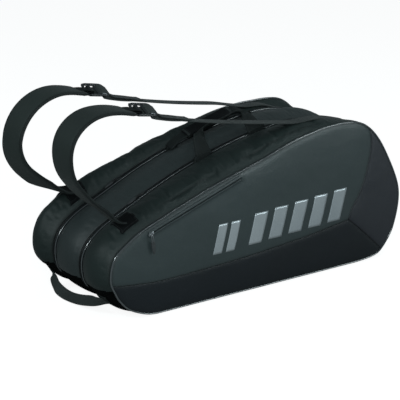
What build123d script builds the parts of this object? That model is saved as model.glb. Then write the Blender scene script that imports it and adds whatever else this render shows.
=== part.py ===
from build123d import *
import math
import os

# Racket tournament bag: two main compartments either side of a centre
# divider, each closed by a long top zip, a zipped accessory pocket on the near
# side, two shoulder straps, two carry handles and a grab loop at the narrow end.
# Millimetres, +Z up, floor at z = 0, +X towards the wide (racket head) end,
# the side with the pocket faces -Y.

os.makedirs("parts", exist_ok=True)

# ---------------------------------------------------------------- dimensions
half_width = 132.0        # centre plane to the inside of a side panel
panel_t = 3.0             # padded side panel
wall_t = 4.0              # padded gusset wall
centre_t = 3.5            # centre top panel
base_t = 2.6              # base cloth
board_t = 2.8             # stiffener board
y_near_edge = -48.5       # near gusset ends here, at its piping
y_centre_low = -36.5      # centre panel edges
y_centre_high = 46.5
y_far_edge = 58.1         # far gusset starts here
arc_x, arc_z, arc_r = 231.1, -780.9, 1100.0   # gentle arc of the top profile
divider_y = (3.5, 6.5)
strap_w = 70.0
strap_t = 9.0
web_w = 28.0
web_t = 2.0
near_strap_y = -85.0
far_strap_y = 79.0
coil_w = 2.6
coil_h = 1.8
shell_open_deg = 35.0


def arc_top(x):
    """Height of the top profile on its gentle arc."""
    return arc_z + math.sqrt(arc_r ** 2 - (x - arc_x) ** 2)


# Profile of the side panels, from the top of the base band at the narrow end,
# over the top, to the top of the base band at the wide end (x, z).
side = [(-353.5, 52), (-361, 66), (-369.5, 84), (-371, 103), (-367.5, 124),
        (-359, 140), (-340, 155), (-308, 175), (-266, 192), (-214, 211),
        (-161, 230), (-113, 245), (-68, 257.5), (-22, 270), (29, 286.5),
        (80, 302), (120, 310), (150, 315), (176, 317), (200, 317.3),
        (221, 316), (245, 312), (278, 294), (309, 261), (330, 229),
        (353, 188), (368, 152), (371.5, 121), (364, 75), (352, 44), (338, 25)]
# The far panel hangs a little lower towards the wide end.
far_drop = [0] * 15 + [4, 7, 10, 12, 12, 12, 12, 12, 12, 8, 4, 2, 0, 0, 0, 0]
far_side = [(x, z - d) for (x, z), d in zip(side, far_drop)]
# Profile of the centre panel between the two zips.
middle = [(-365, 52), (-374, 66), (-379.5, 87), (-380, 108), (-373, 130),
          (-359, 148), (-340, 163), (-305, 182)]
middle += [(x, arc_top(x)) for x in (-266, -214, -161, -113, -68, -22, 29, 80)]
middle += [(120, 312), (150, 311.5), (176, 308.5), (200, 303.5), (221, 297),
           (245, 287), (278, 268), (309, 243), (330, 220), (353, 185),
           (366, 152), (370, 121), (364, 75), (352, 44), (340, 28)]
# How far the crest of each padded lobe stands out of the straight line
# between its two seams.
near_swell = [16, 22, 26, 27, 27, 28, 28, 28, 27, 25, 21, 19, 18, 17, 15, 13,
              11, 10, 10, 10, 10, 10, 10, 10, 10, 10, 9, 8, 7, 5, 4]
far_swell = [16, 22, 26, 27, 27, 28, 28, 28, 28, 26, 22, 20, 18.5, 18, 16, 13,
             10, 9, 6, 1, 0, 0, 0, 2, 4, 5, 6, 6, 6, 5, 4]
# Lower part of the side panel outline.
side_start = [(-237, 2.6), (-280, 5.2), (-305, 13.5), (-326, 24), (-342, 38)]
side_end = [(326, 13.5), (296, 5), (258, 2.6)]
# Outer line of the base cloth.
base_left = [(-346, 45), (-338, 36), (-325, 24.5), (-303, 11.5), (-279, 3), (-240, 0)]
base_right = [(258, 0), (298, 2.5), (320, 10.5), (330, 18)]
# Seams of the side panel: end seam and bottom seam meet at one point.
seam_low = [(-420, 79), (-352, 78), (-277, 72), (-155, 73), (-28, 79), (103, 90), (225, 106)]
seam_end = [(225, 106), (230, 123), (247, 151), (262, 184), (275, 226), (281, 266), (278, 296), (276, 340)]
seam_tail = [(225, 106), (270, 70), (329, 20), (352, -20)]
# Pocket zip line on the near panel.
pocket_a = (-288.0, 172.0)
pocket_b = (-66.0, 248.0)
# Centre line of a shoulder strap pad, from above its sewn end to the buckle.
pad_line = [(-362, 219), (-384, 233), (-412, 256), (-432, 280), (-446, 305),
            (-452, 327), (-451, 347), (-446, 370), (-438, 390), (-424, 408),
            (-402, 420), (-373, 423), (-335, 416), (-296, 406.5)]
neck_line = [(-337, 208.5), (-350, 212), (-364, 220)]
web_line = [(-238, 389.5), (-213, 381), (-170, 371), (-127, 362), (-52, 348), (0, 339.5), (42, 333.0)]
tail_line = [(-230, 391.5), (-205, 383.5), (-160, 373.5)]
buckle_start = (-293.0, 405.6)
buckle_l = 50.0
buckle_dir = (0.9615, -0.2747)


def normals(points):
    """Unit normals to the left of the direction of travel."""
    out = []
    for i in range(len(points)):
        a, b = points[max(i - 1, 0)], points[min(i + 1, len(points) - 1)]
        dx, dz = b[0] - a[0], b[1] - a[1]
        s = math.hypot(dx, dz)
        out.append((-dz / s, dx / s))
    return out


def shifted(points, d):
    """The line moved sideways by d, a number or one number a point."""
    ds = d if isinstance(d, list) else [d] * len(points)
    return [(p[0] + n[0] * e, p[1] + n[1] * e) for p, n, e in zip(points, normals(points), ds)]


def between(p, q, u):
    return [(a[0] * (1 - u) + b[0] * u, a[1] * (1 - u) + b[1] * u) for a, b in zip(p, q)]


def lobe(outer_panel, swell, u):
    """Profile of a padded lobe at u, 0 at the side panel and 1 at the centre."""
    line = between(outer_panel, middle, u)
    return shifted(line, [s * (1 - (2 * u - 1) ** 2) for s in swell])


def crest_z(outer_panel, swell, x):
    pts = lobe(outer_panel, swell, 0.5)
    for a, b in zip(pts[6:], pts[7:]):
        if a[0] <= x <= b[0]:
            return a[1] + (b[1] - a[1]) * (x - a[0]) / (b[0] - a[0])
    return pts[-1][1]


def write(part, label):
    part.label = label
    export_step(part, f"parts/{label}.step")


# ------------------------------------------------------------------ the spine
with BuildPart() as base_panel:
    with BuildSketch(Plane.XZ.offset(-131.5)):
        with BuildLine():
            outer_left = Spline(*base_left)
            outer_mid = Line(outer_left @ 1, base_right[0])
            outer_right = Spline(*base_right)
            inner_pts_left = shifted(base_left, base_t)
            inner_pts_right = shifted(base_right, base_t)
            inner_left = Spline(*inner_pts_left)
            inner_mid = Line(inner_left @ 1, inner_pts_right[0])
            inner_right = Spline(*inner_pts_right)
            Line(outer_left @ 0, inner_left @ 0)
            Line(outer_right @ 1, inner_right @ 1)
        make_face()
    extrude(amount=263.0)
base_panel.part.label = "base_panel"
export_step(base_panel.part, "parts/base_panel.step")

with BuildPart() as base_stiffener_board:
    with BuildSketch(Plane.XY.offset(base_t + 0.2)):
        with Locations((9, 0)):
            Rectangle(488, 252)
    extrude(amount=board_t)
    fillet(base_stiffener_board.edges().filter_by(Axis.Z), radius=18)
base_stiffener_board.part.label = "base_stiffener_board"
export_step(base_stiffener_board.part, "parts/base_stiffener_board.step")

with BuildPart() as centre_divider:
    with BuildSketch(Plane.XZ.offset(-divider_y[1])):
        with BuildLine():
            rim = Spline(*([(-240, 8.6), (-278, 11.5), (-302, 20), (-324, 33), (-341, 49)]
                           + shifted(middle, -6.0)[1:-1] + [(330, 32), (315, 19), (295, 11), (258, 8.6)]))
            Line(rim @ 0, rim @ 1)
        make_face()
    extrude(amount=divider_y[1] - divider_y[0])
centre_divider.part.label = "centre_divider"
export_step(centre_divider.part, "parts/centre_divider.step")

# Bands that follow the centre profile: label, low y, high y, outside, inside.
bands = [
    ("centre_panel", y_centre_low, y_centre_high, 0.0, -centre_t),
    ("centre_piping", y_centre_high + 0.1, y_centre_high + 2.7, 1.8, -1.6),
    ("near_zip_tape_inner", -40.7, -36.6, -0.3, -1.5),
    ("near_zip_coil_inner", -40.8, -40.8 + coil_w, coil_h, -0.2),
    ("far_zip_tape_inner", 49.3, 53.5, -0.3, -1.5),
    ("far_zip_coil_inner", 53.6 - coil_w, 53.6, coil_h, -0.2),
    ("near_gusset_piping", -48.4, -45.8, 1.8, -1.6),
    ("near_zip_tape_outer", -45.7, -41.3, -0.3, -1.5),
    ("near_zip_coil_outer", -41.2 - coil_w, -41.2, coil_h, -0.2),
    ("far_zip_tape_outer", 53.9, 58.0, -0.3, -1.5),
    ("far_zip_coil_outer", 54.0, 54.0 + coil_w, coil_h, -0.2),
]
for label, y_low, y_high, rise, sink in bands:
    with BuildPart() as band:
        with BuildSketch(Plane.XZ.offset(-y_high)):
            with BuildLine():
                over = Spline(*shifted(middle, rise))
                under = Spline(*shifted(middle, sink))
                Line(over @ 0, under @ 0)
                Line(over @ 1, under @ 1)
            make_face()
        extrude(amount=y_high - y_low)
    band.part.label = label
    export_step(band.part, f"parts/{label}.step")

# ------------------------------------------------------- the padded outer lobes
gussets = [
    ("near_gusset", side, near_swell, -half_width, y_near_edge),
    ("far_gusset", far_side, far_swell, half_width, y_far_edge),
]
for label, panel_line, swell, y_panel, y_edge in gussets:
    with BuildPart() as gusset:
        for u in (0.0, 0.18, 0.5, 0.82, 1.0):
            profile = lobe(panel_line, swell, u)
            with BuildSketch(Plane.XZ.offset(-(y_panel + (y_edge - y_panel) * u))):
                with BuildLine():
                    over = Spline(*profile)
                    under = Spline(*shifted(profile, -wall_t))
                    Line(over @ 0, under @ 0)
                    Line(over @ 1, under @ 1)
                make_face()
        loft()
    gusset.part.label = label
    export_step(gusset.part, f"parts/{label}.step")

# --------------------------------------------------------------- side panels
main_region = seam_low + seam_end[1:] + [(-420, 340)]
lower_region = seam_low + seam_tail[1:] + [(-420, -20)]
end_region = seam_end + [(440, 340), (440, -20)] + seam_tail[::-1][:-1]
zip_len = math.hypot(pocket_b[0] - pocket_a[0], pocket_b[1] - pocket_a[1])
zip_dir = ((pocket_b[0] - pocket_a[0]) / zip_len, (pocket_b[1] - pocket_a[1]) / zip_len)
zip_deg = math.degrees(math.atan2(zip_dir[1], zip_dir[0]))
zip_mid = ((pocket_a[0] + pocket_b[0]) / 2, (pocket_a[1] + pocket_b[1]) / 2)
for prefix, panel_line, y_high in (("near", side, -half_width - 0.05),
                                   ("far", far_side, half_width + 0.05 + panel_t)):
    for piece, region in (("main", main_region), ("lower", lower_region), ("end", end_region)):
        with BuildPart() as panel:
            with BuildSketch(Plane.XZ.offset(-y_high)):
                with BuildLine():
                    rim = Spline(*(side_start + panel_line + side_end))
                    Line(rim @ 0, rim @ 1)
                make_face()
                with BuildLine(mode=Mode.PRIVATE) as limit:
                    Polyline(*region, close=True)
                make_face(limit.edges(), mode=Mode.INTERSECT)
                if prefix == "near" and piece == "main":
                    with Locations(Location((zip_mid[0], zip_mid[1], 0), (0, 0, zip_deg))):
                        Rectangle(zip_len - 14, 5.0, mode=Mode.SUBTRACT)
            extrude(amount=panel_t)
        panel.part.label = f"{prefix}_panel_{piece}"
        export_step(panel.part, f"parts/{prefix}_panel_{piece}.step")

    with BuildPart() as piping:
        with BuildSketch(Plane.XZ.offset(-(y_high + (0.6 if prefix == "far" else -0.2)))):
            with BuildLine():
                rim_out = Spline(*shifted(side_start + panel_line + side_end, 2.2))
                Line(rim_out @ 0, rim_out @ 1)
            make_face()
            with BuildLine():
                rim_in = Spline(*(side_start + panel_line + side_end))
                Line(rim_in @ 0, rim_in @ 1)
            make_face(mode=Mode.SUBTRACT)
        extrude(amount=3.4)
    piping.part.label = f"{prefix}_panel_piping"
    export_step(piping.part, f"parts/{prefix}_panel_piping.step")

for label, panel_line, y_high in (("near_lining", side, -half_width + 1.6), ("far_lining", far_side, half_width)):
    with BuildPart() as lining:
        with BuildSketch(Plane.XZ.offset(-y_high)):
            with BuildLine():
                rim = Spline(*([(-238, 9.5), (-276, 12), (-300, 20), (-320, 31), (-338, 47)]
                               + shifted(panel_line, -7.0)[1:-1] + [(322, 24), (295, 12), (258, 9.5)]))
                Line(rim @ 0, rim @ 1)
            make_face()
        extrude(amount=1.5)
    lining.part.label = label
    export_step(lining.part, f"parts/{label}.step")

# ------------------------------------------------------ pocket on the near side
pouch_outline = [(-276, 84), (-72, 84), (-72, 240.5), (-276, 170.5)]
pouch_inner = [(-274, 86), (-74, 86), (-74, 237.6), (-274, 169.0)]
with BuildPart() as pocket_pouch:
    with BuildSketch(Plane.XZ.offset(122.6)):
        with BuildLine():
            Polyline(*pouch_outline, close=True)
        make_face()
    extrude(amount=7.6)
    with BuildSketch(Plane.XZ.offset(124.1)):
        with BuildLine():
            Polyline(*pouch_inner, close=True)
        make_face()
    extrude(amount=7.0, mode=Mode.SUBTRACT)
pocket_pouch.part.label = "pocket_pouch"
export_step(pocket_pouch.part, "parts/pocket_pouch.step")

pocket_plane = Plane(origin=(zip_mid[0], -135.15, zip_mid[1]), x_dir=(zip_dir[0], 0, zip_dir[1]), z_dir=(0, -1, 0))
with BuildPart() as pocket_zip_tape:
    with BuildSketch(pocket_plane):
        RectangleRounded(zip_len, 15.0, 2.0)
    extrude(amount=0.8)
pocket_zip_tape.part.label = "pocket_zip_tape"
export_step(pocket_zip_tape.part, "parts/pocket_zip_tape.step")

with BuildPart() as pocket_zip_coil:
    with BuildSketch(pocket_plane.offset(0.85)):
        with Locations((0, -1.2), (0, 1.2)):
            Rectangle(zip_len - 8, 2.2)
    extrude(amount=1.4)
pocket_zip_coil.part.label = "pocket_zip_coil"
export_step(pocket_zip_coil.part, "parts/pocket_zip_coil.step")

slider_at = -zip_len / 2 + 9.0
with BuildPart() as pocket_zip_slider:
    with BuildSketch(pocket_plane.offset(2.65)):
        with Locations((slider_at, 0)):
            RectangleRounded(12.0, 8.0, 2.2)
    extrude(amount=1.6)
    with BuildSketch(pocket_plane.offset(4.25)):
        with Locations((slider_at, 0)):
            RectangleRounded(8.0, 3.0, 1.2)
    extrude(amount=2.0)
    fillet(pocket_zip_slider.faces().sort_by(Axis.Y)[0].edges(), radius=0.6)
pocket_zip_slider.part.label = "pocket_zip_slider"
export_step(pocket_zip_slider.part, "parts/pocket_zip_slider.step")

slider_x = zip_mid[0] + zip_dir[0] * slider_at
slider_z = zip_mid[1] + zip_dir[1] * slider_at
with BuildPart() as pocket_zip_puller:
    with BuildSketch(Plane.XZ.offset(138.6)):
        with BuildLine():
            Polyline((slider_x - 2.6, slider_z - 6.0), (slider_x + 2.0, slider_z - 6.0),
                     (slider_x + 0.5, slider_z - 44.0), (slider_x - 8.5, slider_z - 44.0), close=True)
        make_face()
    extrude(amount=1.8)
pocket_zip_puller.part.label = "pocket_zip_puller"
export_step(pocket_zip_puller.part, "parts/pocket_zip_puller.step")

# ----------------------------------------------- printed bars on the near panel
with BuildPart() as near_panel_print:
    with BuildSketch(Plane.XZ.offset(half_width + 0.05 + panel_t)):
        for left, width, low, high in ((-134, 22, 100, 162), (-102, 22, 100, 162),
                                       (-44, 34, 103, 168), (8, 34, 105, 171), (60, 34, 107, 174),
                                       (112, 34, 109, 177), (164, 34, 111, 180)):
            lean = (high - low) * 0.22
            with BuildLine():
                Polyline((left, low), (left + width, low + 1.2), (left + width + lean, high + 1.2),
                         (left + lean, high), close=True)
            make_face()
    extrude(amount=0.4)
near_panel_print.part.label = "near_panel_print"
export_step(near_panel_print.part, "parts/near_panel_print.step")

# ------------------------------------------------------------ shoulder straps
for prefix, y_mid, y_tab, panel_line, swell in (("near", near_strap_y, -88.0, side, near_swell),
                                                ("far", far_strap_y, 92.0, far_side, far_swell)):
    # Sewn patch under the lower end of the pad.
    crest = lobe(panel_line, swell, 0.5)
    a, b = crest[7], crest[8]
    patch_pts = [(a[0] + (b[0] - a[0]) * t - 10, a[1] + (b[1] - a[1]) * t - 3) for t in (0.0, 0.25, 0.5, 0.75)]
    with BuildPart() as patch:
        with BuildSketch(Plane.XZ.offset(-(y_tab + 30))):
            with BuildLine():
                over = Polyline(*shifted(patch_pts, 4.6))
                under = Polyline(*shifted(patch_pts, 1.6))
                Line(over @ 0, under @ 0)
                Line(over @ 1, under @ 1)
            make_face()
        extrude(amount=60)
    patch.part.label = f"{prefix}_strap_lower_patch"
    export_step(patch.part, f"parts/{prefix}_strap_lower_patch.step")

    with BuildPart() as pad:
        with BuildSketch(Plane.XZ.offset(-(y_mid + strap_w / 2))):
            with BuildLine():
                over = Spline(*shifted(pad_line, strap_t / 2))
                under = Spline(*shifted(pad_line, -strap_t / 2))
                Line(over @ 0, under @ 0)
                Line(over @ 1, under @ 1)
            make_face()
        extrude(amount=strap_w)
        with BuildSketch(Plane.XZ.offset(-(y_mid + 5))):
            with BuildLine():
                over = Spline(*shifted(neck_line, 2.0))
                under = Spline(*shifted(neck_line, -2.0))
                Line(over @ 0, under @ 0)
                Line(over @ 1, under @ 1)
            make_face()
        extrude(amount=10)
    pad.part.label = f"{prefix}_strap_pad"
    export_step(pad.part, f"parts/{prefix}_strap_pad.step")

    with BuildPart() as webbing:
        with BuildSketch(Plane.XZ.offset(-(y_mid + web_w / 2))):
            with BuildLine():
                over = Spline(*shifted(web_line, web_t / 2))
                under = Spline(*shifted(web_line, -web_t / 2))
                Line(over @ 0, under @ 0)
                Line(over @ 1, under @ 1)
            make_face()
        extrude(amount=web_w)
    webbing.part.label = f"{prefix}_strap_webbing"
    export_step(webbing.part, f"parts/{prefix}_strap_webbing.step")

    with BuildPart() as tail:
        with BuildSketch(Plane.XZ.offset(-(y_mid + web_w / 2))):
            with BuildLine():
                over = Spline(*shifted(tail_line, 4.0))
                under = Spline(*shifted(tail_line, 2.0))
                Line(over @ 0, under @ 0)
                Line(over @ 1, under @ 1)
            make_face()
        extrude(amount=web_w)
    tail.part.label = f"{prefix}_strap_tail"
    export_step(tail.part, f"parts/{prefix}_strap_tail.step")

    # Webbing sewn down along the crest of the lobe.
    sewn = [(x, crest_z(panel_line, swell, x)) for x in (98, 120, 150, 180, 212, 246)]
    with BuildPart() as sewn_webbing:
        with BuildSketch(Plane.XZ.offset(-(y_mid + web_w / 2))):
            with BuildLine():
                over = Spline(*shifted(sewn, 4.3))
                under = Spline(*shifted(sewn, 2.3))
                Line(over @ 0, under @ 0)
                Line(over @ 1, under @ 1)
            make_face()
        extrude(amount=web_w)
    sewn_webbing.part.label = f"{prefix}_strap_sewn_webbing"
    export_step(sewn_webbing.part, f"parts/{prefix}_strap_sewn_webbing.step")

    # Ladder-lock buckle: two slots either side of a bar, toothed front bar.
    lock_plane = Plane(origin=(buckle_start[0], y_mid, buckle_start[1]),
                       x_dir=(buckle_dir[0], 0, buckle_dir[1]), z_dir=(-buckle_dir[1], 0, buckle_dir[0]))
    with BuildPart() as buckle:
        with BuildSketch(lock_plane.offset(-2.5)):
            with Locations((buckle_l / 2, 0)):
                RectangleRounded(buckle_l, 40.0, 6.0)
                with Locations((-15.0, 0), (13.0, 0)):
                    RectangleRounded(8.0, 30.0, 2.0, mode=Mode.SUBTRACT)
        extrude(amount=5.0)
        with BuildSketch(lock_plane.offset(2.5)):
            with Locations((buckle_l / 2 - 1.0, 0)):
                RectangleRounded(16.0, 32.0, 3.0)
        extrude(amount=1.6)
        chamfer(buckle.faces().sort_by(Axis.Z)[-1].edges(), length=0.8)
    buckle.part.label = f"{prefix}_strap_buckle"
    export_step(buckle.part, f"parts/{prefix}_strap_buckle.step")

# -------------------------------------------------------------- carry handles
# Each handle is a flat webbing bail whose feet are sewn beside a piping.


def bail_plane(foot_a, foot_b, y_foot, lean_deg):
    """Plane of a bail: x from foot to foot, y up the bail, leaning by lean_deg towards +Y."""
    dx, dz = foot_b[0] - foot_a[0], foot_b[1] - foot_a[1]
    s = math.hypot(dx, dz)
    ex = (dx / s, 0.0, dz / s)
    lean = math.radians(lean_deg)
    ey = (-ex[2] * math.cos(lean), math.sin(lean), ex[0] * math.cos(lean))
    normal = (ex[1] * ey[2] - ex[2] * ey[1], ex[2] * ey[0] - ex[0] * ey[2], ex[0] * ey[1] - ex[1] * ey[0])
    return Plane(origin=(foot_a[0], y_foot, foot_a[1]), x_dir=ex, z_dir=normal), s


near_foot_a = (-90.0, arc_top(-90) + 7.6)
near_foot_b = (32.0, arc_top(32) + 7.6)
near_bail, near_span = bail_plane(near_foot_a, near_foot_b, -52.5, 35.0)
with BuildPart() as near_handle_webbing:
    with BuildSketch(near_bail.offset(-1.5)):
        with BuildLine():
            Polyline((-22, 4), (-6, 48), (2, 56), (near_span - 2, 56), (near_span + 6, 48), (near_span + 22, 4),
                     (near_span - 22, 4), (near_span - 18, 42), (18, 42), (22, 4), close=True)
        make_face()
    extrude(amount=3.0)
near_handle_webbing.part.label = "near_handle_webbing"
export_step(near_handle_webbing.part, "parts/near_handle_webbing.step")

far_foot_a = (-92.0, arc_top(-92) + 4.0)
far_foot_b = (82.0, arc_top(82) + 4.0)
far_bail, far_span = bail_plane(far_foot_a, far_foot_b, 41.0, -25.0)
grip_low = (16.0, 23.0)
grip_high = (138.0, 42.0)
grip_len = math.hypot(grip_high[0] - grip_low[0], grip_high[1] - grip_low[1])
grip_deg = math.degrees(math.atan2(grip_high[1] - grip_low[1], grip_high[0] - grip_low[0]))
grip_mid = ((grip_low[0] + grip_high[0]) / 2, (grip_low[1] + grip_high[1]) / 2)
with BuildPart() as far_handle_webbing:
    with BuildSketch(far_bail.offset(-1.5)):
        with BuildLine():
            Polyline((-22, 4), (-4, 24), (6, 28.5), (140, 49.4), (far_span - 14, 50), (far_span + 2, 44), (far_span + 18, 4),
                     (far_span - 18, 4), (far_span - 21, 33), (140, 35.2), (18, 16.2), (22, 4), close=True)
        make_face()
    extrude(amount=3.0)
far_handle_webbing.part.label = "far_handle_webbing"
export_step(far_handle_webbing.part, "parts/far_handle_webbing.step")

with BuildPart() as handle_wrap:
    with BuildSketch(far_bail.offset(-9.0)):
        with Locations(Location((grip_mid[0], grip_mid[1], 0), (0, 0, grip_deg))):
            RectangleRounded(grip_len - 6.0, 22.0, 2.0)
    extrude(amount=18.0)
    with BuildSketch(far_bail.offset(-1.8)):
        with Locations(Location((grip_mid[0], grip_mid[1], 0), (0, 0, grip_deg))):
            Rectangle(grip_len + 20.0, 15.6)
    extrude(amount=3.6, mode=Mode.SUBTRACT)
handle_wrap.part.label = "handle_wrap"
export_step(handle_wrap.part, "parts/handle_wrap.step")

# Stitched feet of the handles.
with BuildPart() as near_handle_feet:
    for foot in (near_foot_a, near_foot_b):
        with BuildSketch(Plane(origin=(foot[0], -55.0, foot[1] - 1.6),
                         x_dir=(near_bail.x_dir.X, 0, near_bail.x_dir.Z), z_dir=(-near_bail.x_dir.Z, 0, near_bail.x_dir.X))):
            RectangleRounded(46, 5.0, 1.0)
        extrude(amount=1.6)
near_handle_feet.part.label = "near_handle_feet"
export_step(near_handle_feet.part, "parts/near_handle_feet.step")

with BuildPart() as far_handle_feet:
    for foot in (far_foot_a, far_foot_b):
        with BuildSketch(Plane(origin=(foot[0], 42.0, foot[1] - 1.8),
                         x_dir=(far_bail.x_dir.X, 0, far_bail.x_dir.Z), z_dir=(-far_bail.x_dir.Z, 0, far_bail.x_dir.X))):
            RectangleRounded(46, 6.0, 1.0)
        extrude(amount=1.8)
far_handle_feet.part.label = "far_handle_feet"
export_step(far_handle_feet.part, "parts/far_handle_feet.step")

# ---------------------------------------------------- grab loop, narrow end
with BuildPart() as grab_loop_tabs:
    for y_low in (-104.0, 98.0):
        with BuildSketch(Plane.XZ.offset(-(y_low + 26.0))):
            with BuildLine():
                near_line = Spline(*shifted(base_left[:4], -2.6))
                skin_line = Spline(*shifted(base_left[:4], -0.2))
                Line(near_line @ 0, skin_line @ 0)
                Line(near_line @ 1, skin_line @ 1)
            make_face()
        extrude(amount=26.0)
grab_loop_tabs.part.label = "grab_loop_tabs"
export_step(grab_loop_tabs.part, "parts/grab_loop_tabs.step")

loop_line = [(-350, -91), (-354, -80), (-363, -48), (-375, -5), (-380, 28), (-376, 62), (-362, 96), (-350, 111)]
with BuildPart() as grab_loop:
    with BuildSketch(Plane.XY.offset(4.0)):
        with BuildLine():
            over = Spline(*shifted(loop_line, 1.2))
            under = Spline(*shifted(loop_line, -1.2))
            Line(over @ 0, under @ 0)
            Line(over @ 1, under @ 1)
        make_face()
    extrude(amount=25.0)
grab_loop.part.label = "grab_loop"
export_step(grab_loop.part, "parts/grab_loop.step")

# ------------------------------------------------------- top zip sliders
# Each slider rides the gentle arc; its puller lies along the tape behind it.
for prefix, y_root, toward, x_park in (("near", -40.8, -1, -236.0), ("far", 53.6, 1, -226.0)):
    ang = math.asin((x_park - arc_x) / arc_r)
    along = (math.cos(ang), 0.0, -math.sin(ang))
    out = (math.sin(ang), 0.0, math.cos(ang))

    def at(r):
        return (arc_x + r * math.sin(ang), 0.0, arc_z + r * math.cos(ang))

    y_plate = y_root + toward * 0.3
    with BuildPart() as slider:
        with BuildSketch(Plane(origin=(at(arc_r + 3.6)[0], y_plate, at(arc_r + 3.6)[2]), x_dir=along, z_dir=out)):
            RectangleRounded(14.0, 7.4, 1.8)
        extrude(amount=1.8)
        with BuildSketch(Plane(origin=(at(arc_r + 0.4)[0], y_root - toward * 3.1, at(arc_r + 0.4)[2]), x_dir=along, z_dir=out)):
            RectangleRounded(12.0, 0.8, 0.3)
        extrude(amount=3.4)
        with BuildSketch(Plane(origin=(at(arc_r + 5.2)[0], y_root - toward * 1.4, at(arc_r + 5.2)[2]), x_dir=along, z_dir=out)):
            RectangleRounded(8.0, 2.6, 0.8)
        extrude(amount=2.2)
    slider.part.label = f"{prefix}_zip_slider"
    export_step(slider.part, f"parts/{prefix}_zip_slider.step")

    with BuildPart() as puller:
        with BuildSketch(Plane(origin=(at(arc_r + 4.4)[0] - along[0] * 23.4, y_root - toward * 1.6,
                                       at(arc_r + 4.4)[2] - along[2] * 23.4), x_dir=along, z_dir=out)):
            SlotOverall(29.0, 3.4)
        extrude(amount=1.6)
    puller.part.label = f"{prefix}_zip_puller"
    export_step(puller.part, f"parts/{prefix}_zip_puller.step")
    hinge = (at(arc_r + 5.2)[0] - along[0] * 9.0, at(arc_r + 5.2)[2] - along[2] * 9.0)
    print(prefix, "puller hinge", [round(v, 2) for v in hinge])

print("pocket slider", round(slider_x, 2), round(slider_z, 2), "zip dir", [round(v, 5) for v in zip_dir], "len", round(zip_len, 1))
print("near feet", near_foot_a, near_foot_b, "far feet", far_foot_a, far_foot_b)
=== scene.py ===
import math
import bpy
import numpy as np
from mathutils import Matrix, Vector, noise
from mathutils.geometry import delaunay_2d_cdt


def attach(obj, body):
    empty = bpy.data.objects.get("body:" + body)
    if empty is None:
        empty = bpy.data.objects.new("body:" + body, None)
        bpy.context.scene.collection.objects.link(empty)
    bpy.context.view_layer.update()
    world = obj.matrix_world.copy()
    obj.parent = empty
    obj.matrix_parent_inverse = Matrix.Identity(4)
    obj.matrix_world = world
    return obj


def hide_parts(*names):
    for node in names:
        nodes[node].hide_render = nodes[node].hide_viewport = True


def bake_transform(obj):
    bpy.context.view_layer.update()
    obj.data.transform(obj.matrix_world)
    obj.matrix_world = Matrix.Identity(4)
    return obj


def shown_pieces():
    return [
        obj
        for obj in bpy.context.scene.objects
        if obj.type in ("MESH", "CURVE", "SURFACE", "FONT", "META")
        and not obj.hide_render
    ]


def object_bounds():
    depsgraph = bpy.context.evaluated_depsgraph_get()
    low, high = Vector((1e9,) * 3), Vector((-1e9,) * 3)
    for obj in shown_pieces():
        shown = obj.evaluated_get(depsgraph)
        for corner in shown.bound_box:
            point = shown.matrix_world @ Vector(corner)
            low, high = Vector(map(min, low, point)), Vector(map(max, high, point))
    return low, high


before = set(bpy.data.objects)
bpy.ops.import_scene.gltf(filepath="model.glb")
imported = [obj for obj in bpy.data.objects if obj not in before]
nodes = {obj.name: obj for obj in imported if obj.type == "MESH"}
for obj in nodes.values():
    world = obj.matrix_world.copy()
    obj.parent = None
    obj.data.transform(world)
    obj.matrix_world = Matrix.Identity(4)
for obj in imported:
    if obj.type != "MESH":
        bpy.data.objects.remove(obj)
CAD_BOX = [[float(c) for c in v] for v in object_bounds()]
scene = bpy.context.scene

# ------------------------------------------------------------------ camera
AZ, EL, ROLL = math.radians(-37.45), math.radians(18.98), math.radians(1.69)
back = Vector((math.sin(AZ) * math.cos(EL), -math.cos(AZ) * math.cos(EL), math.sin(EL)))
fwd = -back
right = fwd.cross(Vector((0, 0, 1))).normalized()
up = right.cross(fwd)
r2 = math.cos(ROLL) * right + math.sin(ROLL) * up
u2 = -math.sin(ROLL) * right + math.cos(ROLL) * up
cam_data = bpy.data.cameras.new("camera")
cam = bpy.data.objects.new("camera", cam_data)
scene.collection.objects.link(cam)
cam_data.sensor_width = 36.0
cam_data.lens = 1792.73 * 36.0 / 400.0
cam.matrix_world = Matrix(((r2.x, u2.x, back.x, -2.17991), (r2.y, u2.y, back.y, -2.76767),
                           (r2.z, u2.z, back.z, 1.35948), (0, 0, 0, 1)))
cam_data.clip_start, cam_data.clip_end = 0.05, 60.0
scene.camera = cam

# ------------------------------------------------------- profiles, millimetres
ARC_X, ARC_Z, ARC_R = 231.1, -780.9, 1100.0


def arc_top(x):
    return ARC_Z + math.sqrt(ARC_R ** 2 - (x - ARC_X) ** 2)


SIDE = [(-353.5, 52), (-361, 66), (-369.5, 84), (-371, 103), (-367.5, 124),
        (-359, 140), (-340, 155), (-308, 175), (-266, 192), (-214, 211),
        (-161, 230), (-113, 245), (-68, 257.5), (-22, 270), (29, 286.5),
        (80, 302), (120, 310), (150, 315), (176, 317), (200, 317.3),
        (221, 316), (245, 312), (278, 294), (309, 261), (330, 229),
        (353, 188), (368, 152), (371.5, 121), (364, 75), (352, 44), (338, 25)]
FAR_DROP = [0] * 15 + [4, 7, 10, 12, 12, 12, 12, 12, 12, 8, 4, 2, 0, 0, 0, 0]
FAR_SIDE = [(x, z - d) for (x, z), d in zip(SIDE, FAR_DROP)]
MIDDLE = [(-365, 52), (-374, 66), (-379.5, 87), (-380, 108), (-373, 130),
          (-359, 148), (-340, 163), (-305, 182)]
MIDDLE += [(x, arc_top(x)) for x in (-266, -214, -161, -113, -68, -22, 29, 80)]
MIDDLE += [(120, 312), (150, 311.5), (176, 308.5), (200, 303.5), (221, 297),
           (245, 287), (278, 268), (309, 243), (330, 220), (353, 185),
           (366, 152), (370, 121), (364, 75), (352, 44), (340, 28)]
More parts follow.
